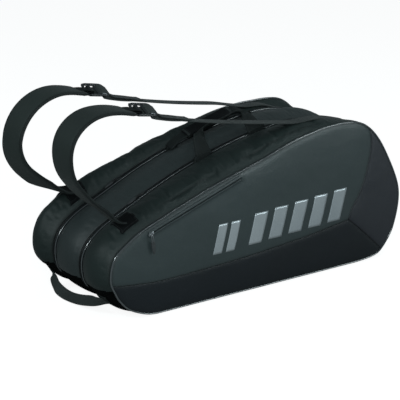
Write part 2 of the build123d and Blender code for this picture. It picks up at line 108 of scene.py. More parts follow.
NEAR_SWELL = [16, 22, 26, 27, 27, 28, 28, 28, 27, 25, 21, 19, 18, 17, 15, 13,
              11, 10, 10, 10, 10, 10, 10, 10, 10, 10, 9, 8, 7, 5, 4]
FAR_SWELL = [16, 22, 26, 27, 27, 28, 28, 28, 28, 26, 22, 20, 18.5, 18, 16, 13,
             10, 9, 6, 1, 0, 0, 0, 2, 4, 5, 6, 6, 6, 5, 4]
SIDE_START = [(-237, 2.6), (-280, 5.2), (-305, 13.5), (-326, 24), (-342, 38)]
SIDE_END = [(326, 13.5), (296, 5), (258, 2.6)]
BASE_LEFT = [(-350, 52), (-346, 45), (-338, 36), (-325, 24.5), (-303, 11.5), (-279, 3), (-240, 0)]
SEAM_LOW = [(-366, 79), (-352, 78), (-277, 72), (-155, 73), (-28, 79), (103, 90), (225, 106)]
SEAM_END = [(225, 106), (230, 123), (247, 151), (262, 184), (275, 226), (281, 266), (278, 296)]
SEAM_TAIL = [(225, 106), (248, 88), (270, 70), (300, 44), (329, 20)]
PANEL_NEAR, PANEL_FAR = -132.0, 132.0
EDGE_NEAR, EDGE_FAR = -48.5, 58.1


def spline_basis(k, ts):
    """Rows give a natural cubic spline through values at knots k, at ts."""
    k = np.asarray(k, float)
    n = len(k)
    h = np.diff(k)
    A, B = np.zeros((n, n)), np.zeros((n, n))
    A[0, 0] = A[-1, -1] = 1.0
    for i in range(1, n - 1):
        A[i, i - 1], A[i, i], A[i, i + 1] = h[i - 1], 2 * (h[i - 1] + h[i]), h[i]
        B[i, i - 1], B[i, i], B[i, i + 1] = 6 / h[i - 1], -6 / h[i - 1] - 6 / h[i], 6 / h[i]
    M = np.linalg.solve(A, B)
    W = np.zeros((len(ts), n))
    for r, t in enumerate(ts):
        i = min(max(int(np.searchsorted(k, t)) - 1, 0), n - 2)
        a, b = (k[i + 1] - t) / h[i], (t - k[i]) / h[i]
        W[r, i] += a
        W[r, i + 1] += b
        W[r] += ((a ** 3 - a) * M[i] + (b ** 3 - b) * M[i + 1]) * h[i] ** 2 / 6
    return W


def chord(points):
    p = np.asarray(points, float)
    return np.r_[0, np.cumsum(np.linalg.norm(np.diff(p, axis=0), axis=1))]


def smooth_line(points, step=None, n=None):
    """Points along a smooth line through the given points, evenly spaced by length."""
    p = np.asarray(points, float)
    k = chord(p)
    dense = spline_basis(k, np.linspace(0, k[-1], max(200, len(p) * 24))) @ p
    s = chord(dense)
    if n is None:
        n = max(2, int(round(s[-1] / step)) + 1)
    t = np.linspace(0, s[-1], n)
    return np.stack([np.interp(t, s, dense[:, i]) for i in range(p.shape[1])], 1)


def resample(pts, step):
    p = np.asarray(pts, float)
    s = chord(p)
    m = max(2, int(round(s[-1] / step)) + 1)
    t = np.linspace(0, s[-1], m)
    return np.stack([np.interp(t, s, p[:, i]) for i in range(3)], 1)


def left_normals(p):
    d = np.gradient(p, axis=0)
    d /= np.linalg.norm(d, axis=1)[:, None]
    return np.stack([-d[:, 1], d[:, 0]], 1)


def shifted(points, d):
    p = np.asarray(points, float)
    out = np.zeros_like(p)
    for i in range(len(p)):
        a, b = p[max(i - 1, 0)], p[min(i + 1, len(p) - 1)]
        t = (b - a) / np.linalg.norm(b - a)
        e = d[i] if hasattr(d, "__len__") else d
        out[i] = p[i] + np.array([-t[1], t[0]]) * e
    return out


KNOTS = chord(MIDDLE)
NT = 400
WB = spline_basis(KNOTS, np.linspace(0, KNOTS[-1], NT))
T_LEN = KNOTS[-1]


def lobe_control(side, swell, u, power=2.0):
    line = np.asarray(side, float) * (1 - u) + np.asarray(MIDDLE, float) * u
    return shifted(line, [s * (1 - abs(2 * u - 1) ** power) for s in swell])


def crest_z(side, swell, x, u=0.5):
    p = WB @ lobe_control(side, swell, u)
    i = np.arange(len(p))[(p[:, 1] > 150)]
    q = p[i]
    o = np.argsort(q[:, 0])
    return float(np.interp(x, q[o, 0], q[o, 1]))


def wob(x, y, z, scale, seed=0.0):
    return noise.noise(Vector((x / scale + seed, y / scale - seed * 0.7, z / scale + seed * 1.3)))


# ------------------------------------------------------------------ materials
MATS = {}


def material(name, color, rough=0.5, spec=0.5, sheen=0.0, sheen_rough=0.4, metallic=0.0, coat=0.0,
             weave=0.0, weave_depth=0.25, twill=False, grain=0.0, var=0.25, coarse=9.0, color2=None,
             rough_var=0.08, ribs=0.0, ribs_depth=0.5, alpha=None, holes=0.0, coat_rough=0.18, seam_shade=True, transmission=0.0, sheen_tint=None):
    if name in MATS:
        return MATS[name]
    m = bpy.data.materials.new(name)
    m.use_nodes = True
    nt = m.node_tree
    nt.nodes.clear()
    N, L = nt.nodes, nt.links
    out = N.new("ShaderNodeOutputMaterial")
    b = N.new("ShaderNodeBsdfPrincipled")
    L.new(b.outputs[0], out.inputs[0])
    b.inputs["Metallic"].default_value = metallic
    b.inputs["Specular IOR Level"].default_value = spec
    b.inputs["Sheen Weight"].default_value = sheen
    b.inputs["Sheen Roughness"].default_value = sheen_rough
    if sheen_tint:
        b.inputs["Sheen Tint"].default_value = (*sheen_tint, 1)
    b.inputs["Coat Weight"].default_value = coat
    b.inputs["Coat Roughness"].default_value = coat_rough
    if transmission:
        b.inputs["Transmission Weight"].default_value = transmission
    tc = N.new("ShaderNodeTexCoord")
    big = N.new("ShaderNodeTexNoise")
    big.inputs["Scale"].default_value = coarse
    big.inputs["Detail"].default_value = 5.0
    big.inputs["Roughness"].default_value = 0.55
    L.new(tc.outputs["Object"], big.inputs["Vector"])
    fine = N.new("ShaderNodeTexNoise")
    fine.inputs["Scale"].default_value = 900.0
    fine.inputs["Detail"].default_value = 3.0
    L.new(tc.outputs["Object"], fine.inputs["Vector"])
    mix = N.new("ShaderNodeMix")
    mix.data_type = "RGBA"
    c2 = color2 or tuple(c * (1 - var) for c in color)
    ramp = N.new("ShaderNodeMapRange")
    ramp.inputs["From Min"].default_value = 0.3
    ramp.inputs["From Max"].default_value = 0.7
    L.new(big.outputs["Fac"], ramp.inputs["Value"])
    L.new(ramp.outputs["Result"], mix.inputs[0])
    mix.inputs[6].default_value = (*color, 1)
    mix.inputs[7].default_value = (*c2, 1)
    last = mix.outputs[2]
    # threads lighter and darker than each other
    mix2 = N.new("ShaderNodeMix")
    mix2.data_type = "RGBA"
    mix2.blend_type = "MULTIPLY"
    mix2.inputs[0].default_value = 0.35
    fr = N.new("ShaderNodeMapRange")
    fr.inputs["From Min"].default_value = 0.25
    fr.inputs["From Max"].default_value = 0.75
    fr.inputs["To Min"].default_value = 0.55
    fr.inputs["To Max"].default_value = 1.35
    L.new(fine.outputs["Fac"], fr.inputs["Value"])
    L.new(last, mix2.inputs[6])
    L.new(fr.outputs["Result"], mix2.inputs[7])
    last = mix2.outputs[2]
    # painted shade: the colour is multiplied down to 0.45 where the mesh's per-point shade attribute is high, darkening
    # seam grooves, crease grooves and the edges where parts meet
    if seam_shade:
        at = N.new("ShaderNodeAttribute")
        at.attribute_name = "seam_shade"
        ms = N.new("ShaderNodeMapRange")
        ms.inputs["From Max"].default_value = 1.0
        ms.inputs["To Min"].default_value = 1.0
        ms.inputs["To Max"].default_value = 0.45
        L.new(at.outputs["Fac"], ms.inputs["Value"])
        m3 = N.new("ShaderNodeMix")
        m3.data_type = "RGBA"
        m3.blend_type = "MULTIPLY"
        m3.inputs[0].default_value = 1.0
        L.new(last, m3.inputs[6])
        L.new(ms.outputs["Result"], m3.inputs[7])
        last = m3.outputs[2]
    L.new(last, b.inputs["Base Color"])
    rr = N.new("ShaderNodeMapRange")
    rr.inputs["From Min"].default_value = 0.3
    rr.inputs["From Max"].default_value = 0.7
    rr.inputs["To Min"].default_value = max(0.05, rough - rough_var)
    rr.inputs["To Max"].default_value = min(1.0, rough + rough_var)
    L.new(big.outputs["Fac"], rr.inputs["Value"])
    L.new(rr.outputs["Result"], b.inputs["Roughness"])
    height = None

    def add_height(sock, gain):
        nonlocal height
        g = N.new("ShaderNodeMath")
        g.operation = "MULTIPLY"
        g.inputs[1].default_value = gain
        L.new(sock, g.inputs[0])
        if height is None:
            height = g.outputs[0]
        else:
            a = N.new("ShaderNodeMath")
            a.operation = "ADD"
            L.new(height, a.inputs[0])
            L.new(g.outputs[0], a.inputs[1])
            height = a.outputs[0]

    def wave(direction, pitch, prof="SIN", rot=0.0):
        mp = N.new("ShaderNodeMapping")
        mp.inputs["Rotation"].default_value = (0, 0, rot)
        L.new(tc.outputs["UV"], mp.inputs["Vector"])
        w = N.new("ShaderNodeTexWave")
        w.wave_type = "BANDS"
        w.bands_direction = direction
        w.wave_profile = prof
        w.inputs["Scale"].default_value = 2 * math.pi / (20.0 * pitch)
        w.inputs["Distortion"].default_value = 0.0
        L.new(mp.outputs["Vector"], w.inputs["Vector"])
        return w.outputs["Fac"]

    if weave:
        a, c = wave("X", weave, rot=0.785 if twill else 0.0), wave("Y", weave, rot=0.785 if twill else 0.0)
        mx = N.new("ShaderNodeMath")
        mx.operation = "MAXIMUM"
        L.new(a, mx.inputs[0])
        L.new(c, mx.inputs[1])
        add_height(mx.outputs[0], weave_depth)
    if ribs:
        add_height(wave("Y", ribs), ribs_depth)
        add_height(wave("X", ribs * 0.62), ribs_depth * 0.6)
    if holes:
        v = N.new("ShaderNodeTexVoronoi")
        v.inputs["Scale"].default_value = 1.0 / holes
        L.new(tc.outputs["UV"], v.inputs["Vector"])
        add_height(v.outputs["Distance"], 0.9)
    if grain:
        add_height(fine.outputs["Fac"], grain)
    mid = N.new("ShaderNodeTexNoise")
    mid.inputs["Scale"].default_value = 70.0
    mid.inputs["Detail"].default_value = 4.0
    L.new(tc.outputs["Object"], mid.inputs["Vector"])
    add_height(mid.outputs["Fac"], 1.1)
    bump = N.new("ShaderNodeBump")
    bump.inputs["Strength"].default_value = 0.55
    bump.inputs["Distance"].default_value = 0.0004
    L.new(height, bump.inputs["Height"])
    L.new(bump.outputs["Normal"], b.inputs["Normal"])
    MATS[name] = m
    return m


def M(key):
    t = {
        "panel": dict(color=(0.0315, 0.0440, 0.0455), rough=0.42, spec=0.46, sheen=0.02, weave=0.0009, weave_depth=0.25, var=0.2, coarse=5),
        "panel_dark": dict(color=(0.0088, 0.0118, 0.0150), rough=0.45, spec=0.3, sheen=0.0, weave=0.0009, weave_depth=0.25, var=0.3, coarse=5),
        "panel_end": dict(color=(0.0235, 0.0262, 0.0325), rough=0.45, spec=0.4, sheen=0.0, weave=0.0009, weave_depth=0.25, var=0.25, coarse=5),
        "lobe": dict(color=(0.0135, 0.0215, 0.0205), rough=0.46, spec=0.26, sheen=0.02, weave=0.0011, weave_depth=0.35, var=0.25, coarse=6),
        "centre": dict(color=(0.0225, 0.0302, 0.0308), rough=0.45, spec=0.36, sheen=0.02, weave=0.0011, weave_depth=0.35, var=0.22, coarse=6),
        # base: near-black base fabric, its colour deepened as painted shade for the underside in shadow
        "base": dict(color=(0.0016, 0.0022, 0.0023), rough=0.85, spec=0.04, sheen=0.0, weave=0.0022, weave_depth=0.9, var=0.3, coarse=14),
        "lining": dict(color=(0.055, 0.06, 0.064), rough=0.7, spec=0.25, sheen=0.05, weave=0.0008, weave_depth=0.3, var=0.15, coarse=8),
        "foam": dict(color=(0.018, 0.019, 0.022), rough=0.8, spec=0.2, sheen=0.05, weave=0.0012, weave_depth=0.5, grain=0.3, var=0.2, coarse=10),
        "board": dict(color=(0.03, 0.03, 0.033), rough=0.55, spec=0.4, grain=0.5, var=0.15, coarse=20, seam_shade=False),
        "piping": dict(color=(0.050, 0.056, 0.060), rough=0.13, spec=0.8, coat=1.0, var=0.2, coarse=30, rough_var=0.05, coat_rough=0.05),
        "tape": dict(color=(0.0045, 0.0062, 0.0066), rough=0.7, spec=0.25, sheen=0.0, ribs=0.0013, ribs_depth=0.9, var=0.3, coarse=30),
        "coil": dict(color=(0.009, 0.011, 0.012), rough=0.4, spec=0.4, var=0.2, coarse=60, grain=0.2, seam_shade=False),
        "metal": dict(color=(0.42, 0.44, 0.46), rough=0.28, spec=0.5, metallic=1.0, var=0.12, coarse=220, rough_var=0.07, grain=0.15, seam_shade=False),
        "puller": dict(color=(0.032, 0.036, 0.038), rough=0.4, spec=0.5, var=0.2, coarse=60, grain=0.4, seam_shade=False),
        "webbing": dict(color=(0.0210, 0.0270, 0.0260), rough=0.6, spec=0.35, sheen=0.05, ribs=0.0021, ribs_depth=1.1, var=0.25, coarse=25),
        "webbing_dark": dict(color=(0.0070, 0.0098, 0.0096), rough=0.62, spec=0.16, sheen=0.0, ribs=0.0021, ribs_depth=1.1, var=0.25, coarse=25),
        "pad": dict(color=(0.0195, 0.0275, 0.0255), rough=0.62, spec=0.24, sheen=0.03, weave=0.0013, weave_depth=0.5, var=0.25, coarse=10),
        "pad_mesh": dict(color=(0.0040, 0.0048, 0.0048), rough=0.9, spec=0.08, sheen=0.0, holes=0.0024, var=0.3, coarse=16),
        "binding": dict(color=(0.0110, 0.0150, 0.0145), rough=0.55, spec=0.2, sheen=0.03, ribs=0.0014, ribs_depth=0.8, var=0.2, coarse=20),
        "buckle": dict(color=(0.010, 0.012, 0.014), rough=0.26, spec=0.6, coat=0.25, var=0.2, coarse=60, grain=0.15, seam_shade=False),
        "buckle_light": dict(color=(0.20, 0.215, 0.23), rough=0.2, spec=0.7, coat=0.4, var=0.15, coarse=60, seam_shade=False),
        "metal_dark": dict(color=(0.035, 0.038, 0.040), rough=0.32, spec=0.6, metallic=0.6, var=0.2, coarse=200, grain=0.15, seam_shade=False),
        "welt": dict(color=(0.0300, 0.0420, 0.0435), rough=0.42, spec=0.46, sheen=0.02, weave=0.0009, weave_depth=0.25, var=0.2, coarse=5),
        "wrap": dict(color=(0.0022, 0.0030, 0.0036), rough=0.8, spec=0.12, sheen=0.0, weave=0.0016, weave_depth=0.8, var=0.35, coarse=16),
        "thread": dict(color=(0.024, 0.029, 0.030), rough=0.6, spec=0.3, sheen=0.0, var=0.2, coarse=90, seam_shade=False),
        "print": dict(color=(0.42, 0.45, 0.47), rough=0.33, spec=0.5, metallic=0.35, color2=(0.30, 0.33, 0.35), coarse=5, grain=0.3, seam_shade=False),
    }[key]
    return material("bag_" + key, **t)


# --------------------------------------------------------------- mesh helpers
def make(name, verts, faces, mats, face_mat=None, smooth=True, uv=None, seam_shade=None):
    me = bpy.data.meshes.new(name)
    me.from_pydata([tuple(v) for v in (np.asarray(verts, float) * 0.001)], [], [tuple(int(i) for i in f) for f in faces])
    me.validate()
    me.update()
    ob = bpy.data.objects.new(name, me)
    scene.collection.objects.link(ob)
    for m in (mats if isinstance(mats, (list, tuple)) else [mats]):
        me.materials.append(m)
    if face_mat is not None:
        me.polygons.foreach_set("material_index", np.asarray(face_mat, np.int32))
    me.polygons.foreach_set("use_smooth", np.full(len(me.polygons), smooth))
    if uv is not None:
        lay = me.uv_layers.new(name="UVMap")
        idx = np.zeros(len(me.loops), np.int32)
        me.loops.foreach_get("vertex_index", idx)
        lay.data.foreach_set("uv", (np.asarray(uv, float)[idx] * 0.001).ravel())
    # per-point painted shade that darkens the colour along seam grooves, creases and part edges
    if seam_shade is not None:
        a = me.attributes.new("seam_shade", "FLOAT", "POINT")
        a.data.foreach_set("value", np.asarray(seam_shade, np.float32))
    return ob


def grid_faces(nt, nu, close_u=False, close_t=False):
    f = []
    for i in range(nt if close_t else nt - 1):
        for j in range(nu if close_u else nu - 1):
            a, b = i, (i + 1) % nt
            c, d = j, (j + 1) % nu
            f.append((a * nu + c, b * nu + c, b * nu + d, a * nu + d))
    return f


def grid(name, P, mats, close_u=False, uv=None, seam_shade=None, flip=False, face_mat=None, cap=False):
    nt, nu = P.shape[:2]
    f = grid_faces(nt, nu, close_u)
    if flip:
        f = [q[::-1] for q in f]
    if cap and close_u:
        f.append(tuple(range(nu)) if not flip else tuple(range(nu))[::-1])
        last = tuple((nt - 1) * nu + j for j in range(nu))
        f.append(last[::-1] if not flip else last)
        if face_mat is not None:
            face_mat = list(face_mat) + [0, 0]
    if uv is None:
        s = np.r_[0, np.cumsum(np.linalg.norm(np.diff(P[:, nu // 2], axis=0), axis=1))]
        w = np.concatenate([np.zeros((nt, 1)), np.cumsum(np.linalg.norm(np.diff(P, axis=1), axis=2), axis=1)], 1)
        uv = np.stack([np.repeat(s[:, None], nu, 1), w], 2)
    ob = make(name, P.reshape(-1, 3), f, mats, face_mat, uv=uv.reshape(-1, 2), seam_shade=None if seam_shade is None else np.asarray(seam_shade).ravel())
    return ob


def apply_mods(ob):
    dg = bpy.context.evaluated_depsgraph_get()
    me = bpy.data.meshes.new_from_object(ob.evaluated_get(dg), preserve_all_data_layers=True, depsgraph=dg)
    old = ob.data
    ob.modifiers.clear()
    ob.data = me
    bpy.data.meshes.remove(old)
    return ob


def thick(ob, t, offset=-1.0, even=True):
    m = ob.modifiers.new("thick", "SOLIDIFY")
    m.thickness = t * 0.001
    m.offset = offset
    m.use_even_offset = even
    m.use_rim = True
    return apply_mods(ob)


def subdivide(ob, levels=1):
    m = ob.modifiers.new("sub", "SUBSURF")
    m.levels = m.render_levels = levels
    m.uv_smooth = "PRESERVE_CORNERS"
    return apply_mods(ob)


def tube(name, path, radius, mat, sides=12, lump=0.0):
    """Tube along a path of points in the XZ profile plane (y may vary)."""
    p = np.asarray(path, float)
    t = np.gradient(p, axis=0)
    t /= np.linalg.norm(t, axis=1)[:, None]
    yv = np.array([0, 1.0, 0])
    n = np.cross(t, yv)
    n /= np.linalg.norm(n, axis=1)[:, None]
    bvec = np.cross(n, t)
    ang = np.linspace(0, 2 * math.pi, sides, endpoint=False)
    P = p[:, None, :] + radius * (np.cos(ang)[None, :, None] * n[:, None, :] + np.sin(ang)[None, :, None] * bvec[:, None, :])
    return grid(name, P, mat, close_u=True, cap=True)


def stitches(name, path, up_dirs, pitch=3.4, length=2.5, r=0.34, mat=None, lift=0.12, side=None):
    """A row of separate thread stitches lying along a path."""
    p = np.asarray(path, float)
    s = chord(p)
    ups = np.asarray(up_dirs, float)
    if ups.ndim == 1:
        ups = np.repeat(ups[None], len(p), 0)
    n = int(s[-1] / pitch)
    V, F = [], []
    ring = [(math.cos(a), math.sin(a)) for a in np.linspace(0, 2 * math.pi, 6, endpoint=False)]
    for k in range(n):
        c = (k + 0.5) * pitch
        tt = np.array([c - length / 2, c - length * 0.28, c + length * 0.28, c + length / 2])
        pts = np.stack([np.interp(tt, s, p[:, i]) for i in range(3)], 1)
        u = np.array([np.interp(c, s, ups[:, i]) for i in range(3)])
        u /= np.linalg.norm(u)
        t = pts[-1] - pts[0]
        t /= np.linalg.norm(t)
        w = np.cross(t, u)
        base = len(V)
        for j, (q, rr, dz) in enumerate(zip(pts, (0.35, 1.0, 1.0, 0.35), (-0.25, lift, lift, -0.25))):
            for (a, b) in ring:
                V.append(q + u * (dz + r * rr * b) + w * (r * rr * a))
        for j in range(3):
            for i in range(6):
                a, b = base + j * 6 + i, base + j * 6 + (i + 1) % 6
                F.append((a, b, b + 6, a + 6))
        F.append(tuple(base + i for i in range(5, -1, -1)))
        F.append(tuple(base + 18 + i for i in range(6)))
    return make(name, V, F, mat or M("thread"))


def join(name, obs):
    """One mesh from several, with their materials."""
    bpy.ops.object.select_all(action="DESELECT")
    for o in obs:
        o.select_set(True)
    bpy.context.view_layer.objects.active = obs[0]
    bpy.ops.object.join()
    obs[0].name = name
    obs[0].data.name = name
    return obs[0]


def sweep(name, path, wdir, ndir, section, mats, face_mat=None, seam_shade=None, flip=False, cap=True):
    """section(i) -> list of (across, up) points round the closed section at sample i."""
    p = np.asarray(path, float)
    rows = []
    for i in range(len(p)):
        rows.append([p[i] + a * wdir[i] + b * ndir[i] for a, b in section(i)])
    P = np.asarray(rows)
    return grid(name, P, mats, close_u=True, cap=cap, face_mat=face_mat, seam_shade=seam_shade, flip=flip)


def strip_frames(path, wdir):
    p = np.asarray(path, float)
    t = np.gradient(p, axis=0)
    t /= np.linalg.norm(t, axis=1)[:, None]
    w = np.asarray(wdir, float)
    if w.ndim == 1:
        w = np.repeat(w[None], len(p), 0)
    w = w - (w * t).sum(1)[:, None] * t
    w /= np.linalg.norm(w, axis=1)[:, None]
    n = np.cross(t, w)
    return t, w, n


def flat_band(name, path, wdir, width, thickness, mat, rounded=0.45, sag=None, ribs=True):
    """Flat webbing along a path; width may be one number or one per sample."""
    t, w, n = strip_frames(path, wdir)
    W = width if hasattr(width, "__len__") else [width] * len(path)
    H = thickness if hasattr(thickness, "__len__") else [thickness] * len(path)
    K = sag if hasattr(sag, "__len__") else [sag or 0.0] * len(path)
    xs = np.array([-1, -0.985, -0.94, -0.8, -0.6, -0.4, -0.2, 0, 0.2, 0.4, 0.6, 0.8, 0.94, 0.985, 1])
    prof = np.array([0.15, 0.6, 0.95, 1, 0.97, 1, 0.97, 1, 0.97, 1, 0.97, 1, 0.95, 0.6, 0.15])

    def sec(i):
        top = [(x * W[i] / 2, H[i] / 2 * q - K[i] * (x * W[i] / 2) ** 2) for x, q in zip(xs, prof)]
        bot = [(x * W[i] / 2, -H[i] / 2 * q - K[i] * (x * W[i] / 2) ** 2) for x, q in zip(xs[::-1], prof[::-1])]
        return top + bot

    return sweep(name, path, w, n, sec, mat)


# ------------------------------------------------------------------ the lobes
def pinned_cloth(ob, weights, pressure, cap, frames=14, shrink=-0.012, stiff=14.0):
    """Air pressure swells a sewn panel that is held along its seams."""
    n = len(ob.data.vertices)
    rest = np.zeros(n * 3)
    ob.data.vertices.foreach_get("co", rest)
    rest = rest.reshape(-1, 3)
    g = ob.vertex_groups.new(name="pin")
    for lv in np.unique(np.round(weights, 2)):
        if lv > 0:
            g.add([int(i) for i in np.nonzero(np.round(weights, 2) == lv)[0]], float(lv), "REPLACE")
    m = ob.modifiers.new("cloth", "CLOTH")
    st = m.settings
    st.quality = 6
    st.mass = 0.25
    st.air_damping = 4.0
    st.tension_stiffness = st.compression_stiffness = stiff
    st.shear_stiffness = 8.0
    st.bending_stiffness = 0.8
    st.vertex_group_mass = "pin"
    st.pin_stiffness = 1.0
    st.shrink_min = shrink
    st.use_pressure = True
    st.uniform_pressure_force = pressure
    st.effector_weights.gravity = 0.0
    m.collision_settings.use_collision = False
    m.point_cache.frame_start, m.point_cache.frame_end = 1, frames
    for f in range(1, frames + 1):
        scene.frame_set(f)
    apply_mods(ob)
    scene.frame_set(1)
    now = np.zeros(n * 3)
    ob.data.vertices.foreach_get("co", now)
    d = now.reshape(-1, 3) - rest
    d -= 0.5 * smooth_field_mean(d)
    L = np.linalg.norm(d, axis=1)
    d *= (np.minimum(L, cap * 0.001) / np.maximum(L, 1e-9))[:, None]
    d *= (1 - weights)[:, None]
    ob.data.vertices.foreach_set("co", (rest + d).ravel())
    ob.data.update()
    ob.vertex_groups.clear()
    return ob


def smooth_field_mean(d):
    return d.mean(axis=0)[None, :] * 0.0


def lobe_shape(side, swell, scale, skew, u):
    """Control points of a lobe at u from its panel (0) to its top zip (1)."""
    line = np.asarray(side, float) * (1 - u) + np.asarray(MIDDLE, float) * u
    f = 1 - abs(2 * u ** skew - 1) ** 2.0
    return shifted(line, [s * k * f for s, k in zip(swell, scale)])


def lobe(name, side, swell, y_panel, y_edge, mat, creases, scale, skew, drop=None, nu=34):
    us = np.linspace(0, 1, nu)
    us = 0.35 * us + 0.65 * (0.5 - 0.5 * np.cos(math.pi * us))
    P = np.zeros((NT, nu, 3))
    for j, u in enumerate(us):
        q = WB @ lobe_shape(side, swell, scale, skew, u)
        P[:, j, 0], P[:, j, 2] = q[:, 0], q[:, 1]
        P[:, j, 1] = y_panel + (y_edge - y_panel) * u
    du = np.gradient(P, axis=1)
    dt = np.gradient(P, axis=0)
    nrm = np.cross(dt, du)
    nrm /= np.linalg.norm(nrm, axis=2)[:, :, None]
    mid = P[NT // 2, nu // 2]
    if nrm[NT // 2, nu // 2, 2] < 0:
        nrm = -nrm
    seam_shade = np.zeros((NT, nu))
    ts = np.linspace(0, 1, NT)
    width = abs(y_edge - y_panel)
    for i in range(NT):
        for j in range(nu):
            u, t = us[j], ts[i]
            e = min(u, 1 - u) * width
            x, y, z = P[i, j]
            if drop and z > 200:
                P[i, j, 2] -= drop[2] * math.exp(-((x - drop[0]) / drop[1]) ** 2) * math.sin(math.pi * u) ** 0.6
            free = 1 - math.exp(-e / 9.0)
            off = free * (1.7 * wob(x, y * 1.2, z, 95, 3.1) + 0.8 * wob(x, y * 1.6, z, 38, 7.7))
            off += 0.7 * math.exp(-e / 8.0) * (1 - math.exp(-e / 2.0)) * wob(x, 0, z, 11, 1.9 + (u > 0.5))
            # painted shade darkens the lobe beside its edges, where it meets the piping and zip tape
            seam_shade[i, j] = 0.75 * math.exp(-((e - 0.5) / 2.2) ** 2)
            off -= 0.8 * math.exp(-(e / 2.2) ** 2)
            for (t0, t1, uc, depth, w) in creases:
                k = 1 / (1 + math.exp(-(t - t0) / 0.012)) * 1 / (1 + math.exp((t - t1) / 0.012))
                g = k * math.exp(-(((u - uc) * width) / w) ** 2)
                off -= depth * g
                # painted shade darkens the lobe along each crease groove
                seam_shade[i, j] = max(seam_shade[i, j], 0.8 * g)
            P[i, j] += nrm[i, j] * off
    # faces below 67 mm at the handle end take the near-black base finish: partly the base fabric wrapping up, partly
    # painted shade for the underside in shadow
    underside_shade_faces = [1 if (P[i, 0, 0] < -200 and P[i, j, 2] < 67.0) else 0 for i in range(NT - 1) for j in range(nu - 1)]
    ob = grid(name, P, [mat, M("base")], seam_shade=seam_shade, face_mat=underside_shade_faces)
    e = np.minimum(us, 1 - us) * width
    wt = np.clip(1.0 - (e - 1.5) / 9.0, 0, 1)[None, :] * np.ones((NT, 1))
    ends = np.minimum(np.arange(NT), np.arange(NT)[::-1])[:, None] * np.ones((1, nu))
    wt = np.maximum(wt, np.clip(1 - ends / 6.0, 0, 1))
    pinned_cloth(ob, wt.ravel(), 3.0, 5.0)
    return ob, P, nrm, us


near_lobe, NLP, NLN, NLU = lobe("near_gusset_cloth", SIDE, NEAR_SWELL, PANEL_NEAR, EDGE_NEAR, M("lobe"),
                                [(0.235, 0.345, 0.2, 1.8, 2.0), (0.42, 0.62, 0.2, 0.7, 2.2)],
                                [0.45, 0.5, 0.56, 0.6, 0.62, 0.62, 0.62, 0.62, 0.62, 0.62, 0.64, 0.68, 0.72, 0.76, 0.82, 0.9] + [1.0] * 15, 0.84, (228, 45, 6.0))
far_lobe, FLP, FLN, FLU = lobe("far_gusset_cloth", FAR_SIDE, FAR_SWELL, PANEL_FAR, EDGE_FAR, M("lobe"),
                               [(0.235, 0.345, 0.2, 1.4, 2.0)],
                               [0.5, 0.7, 0.88, 0.95] + [1.0] * 10 + [0.9, 0.75, 0.6, 0.5, 0.6] + [1.0] * 12, 1.0, (206, 42, 11.0))


def orient_out(ob, centre=(0.0, 0.0, 0.12)):
    """Faces of an open shell all turned to face away from the middle of the bag."""
    me = ob.data
    c = Vector(centre)
    s = 0.0
    for p in me.polygons:
        s += p.normal.dot(p.center - c) * p.area
    if s < 0:
        me.flip_normals()
    me.update()


for ob, body, node in ((near_lobe, "near_shell", "near_gusset"), (far_lobe, "far_shell", "far_gusset")):
    orient_out(ob)
    thick(ob, 3.2, -1.0)
    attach(ob, body)
    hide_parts(node)

# ------------------------------------------------------------- centre panel
CROWN = 3.2


def centre_surface():
    nu = 30
    ys = np.linspace(-36.5, 46.5, nu)
    q = WB @ np.asarray(MIDDLE, float)
    n = left_normals(q)
    P = np.zeros((NT, nu, 3))
    seam_shade = np.zeros((NT, nu))
    for j, y in enumerate(ys):
        e = min(y + 36.5, 46.5 - y)
        u = (y + 36.5) / 83.0
        for i in range(NT):
            x, z = q[i]
            tt = i / (NT - 1.0)
            crown = CROWN + 6.0 * math.exp(-((tt - 0.10) / 0.13) ** 2) + 7.0 * math.exp(-((x - 205.0) / 55.0) ** 2) * (z > 200)
            off = crown * (1 - abs(2 * u - 1) ** 2.2) - 0.5 * math.exp(-(e / 2.0) ** 2)
            off += (1 - math.exp(-e / 8)) * (1.1 * wob(x, y, z, 100, 11.3) + 0.5 * wob(x, y, z, 34, 5.3))
            off += 0.5 * math.exp(-e / 7) * (1 - math.exp(-e / 2)) * wob(x, 0, z, 12, 4.4 + j // 15)
            P[i, j] = (x + n[i, 0] * off, y, z + n[i, 1] * off)
            # painted shade darkens the centre panel along both edges, beside the zip tapes
            seam_shade[i, j] = 0.7 * math.exp(-((e - 0.5) / 2.0) ** 2)
    return P, seam_shade, q, n


CP, CENTRE_SEAM_SHADE, MID, MIDN = centre_surface()
# faces below 67 mm at the handle end take the near-black base finish: partly the base fabric wrapping up, partly
# painted shade for the underside in shadow
centre = grid("centre_panel_cloth", CP, [M("centre"), M("base")], seam_shade=CENTRE_SEAM_SHADE,
              face_mat=[1 if (CP[i, 0, 0] < -200 and CP[i, j, 2] < 67.0) else 0 for i in range(NT - 1) for j in range(29)])
orient_out(centre)
ends = np.minimum(np.arange(NT), np.arange(NT)[::-1])[:, None] * np.ones((1, 30))
e30 = np.minimum(np.arange(30), np.arange(30)[::-1])[None, :] * 2.86 * np.ones((NT, 1))
pinned_cloth(centre, np.maximum(np.clip(1 - (e30 - 1.5) / 9.0, 0, 1), np.clip(1 - ends / 6.0, 0, 1)).ravel(), 2.2, 3.5)
thick(centre, 3.2, -1.0)
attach(centre, "main_body")
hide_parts("centre_panel")

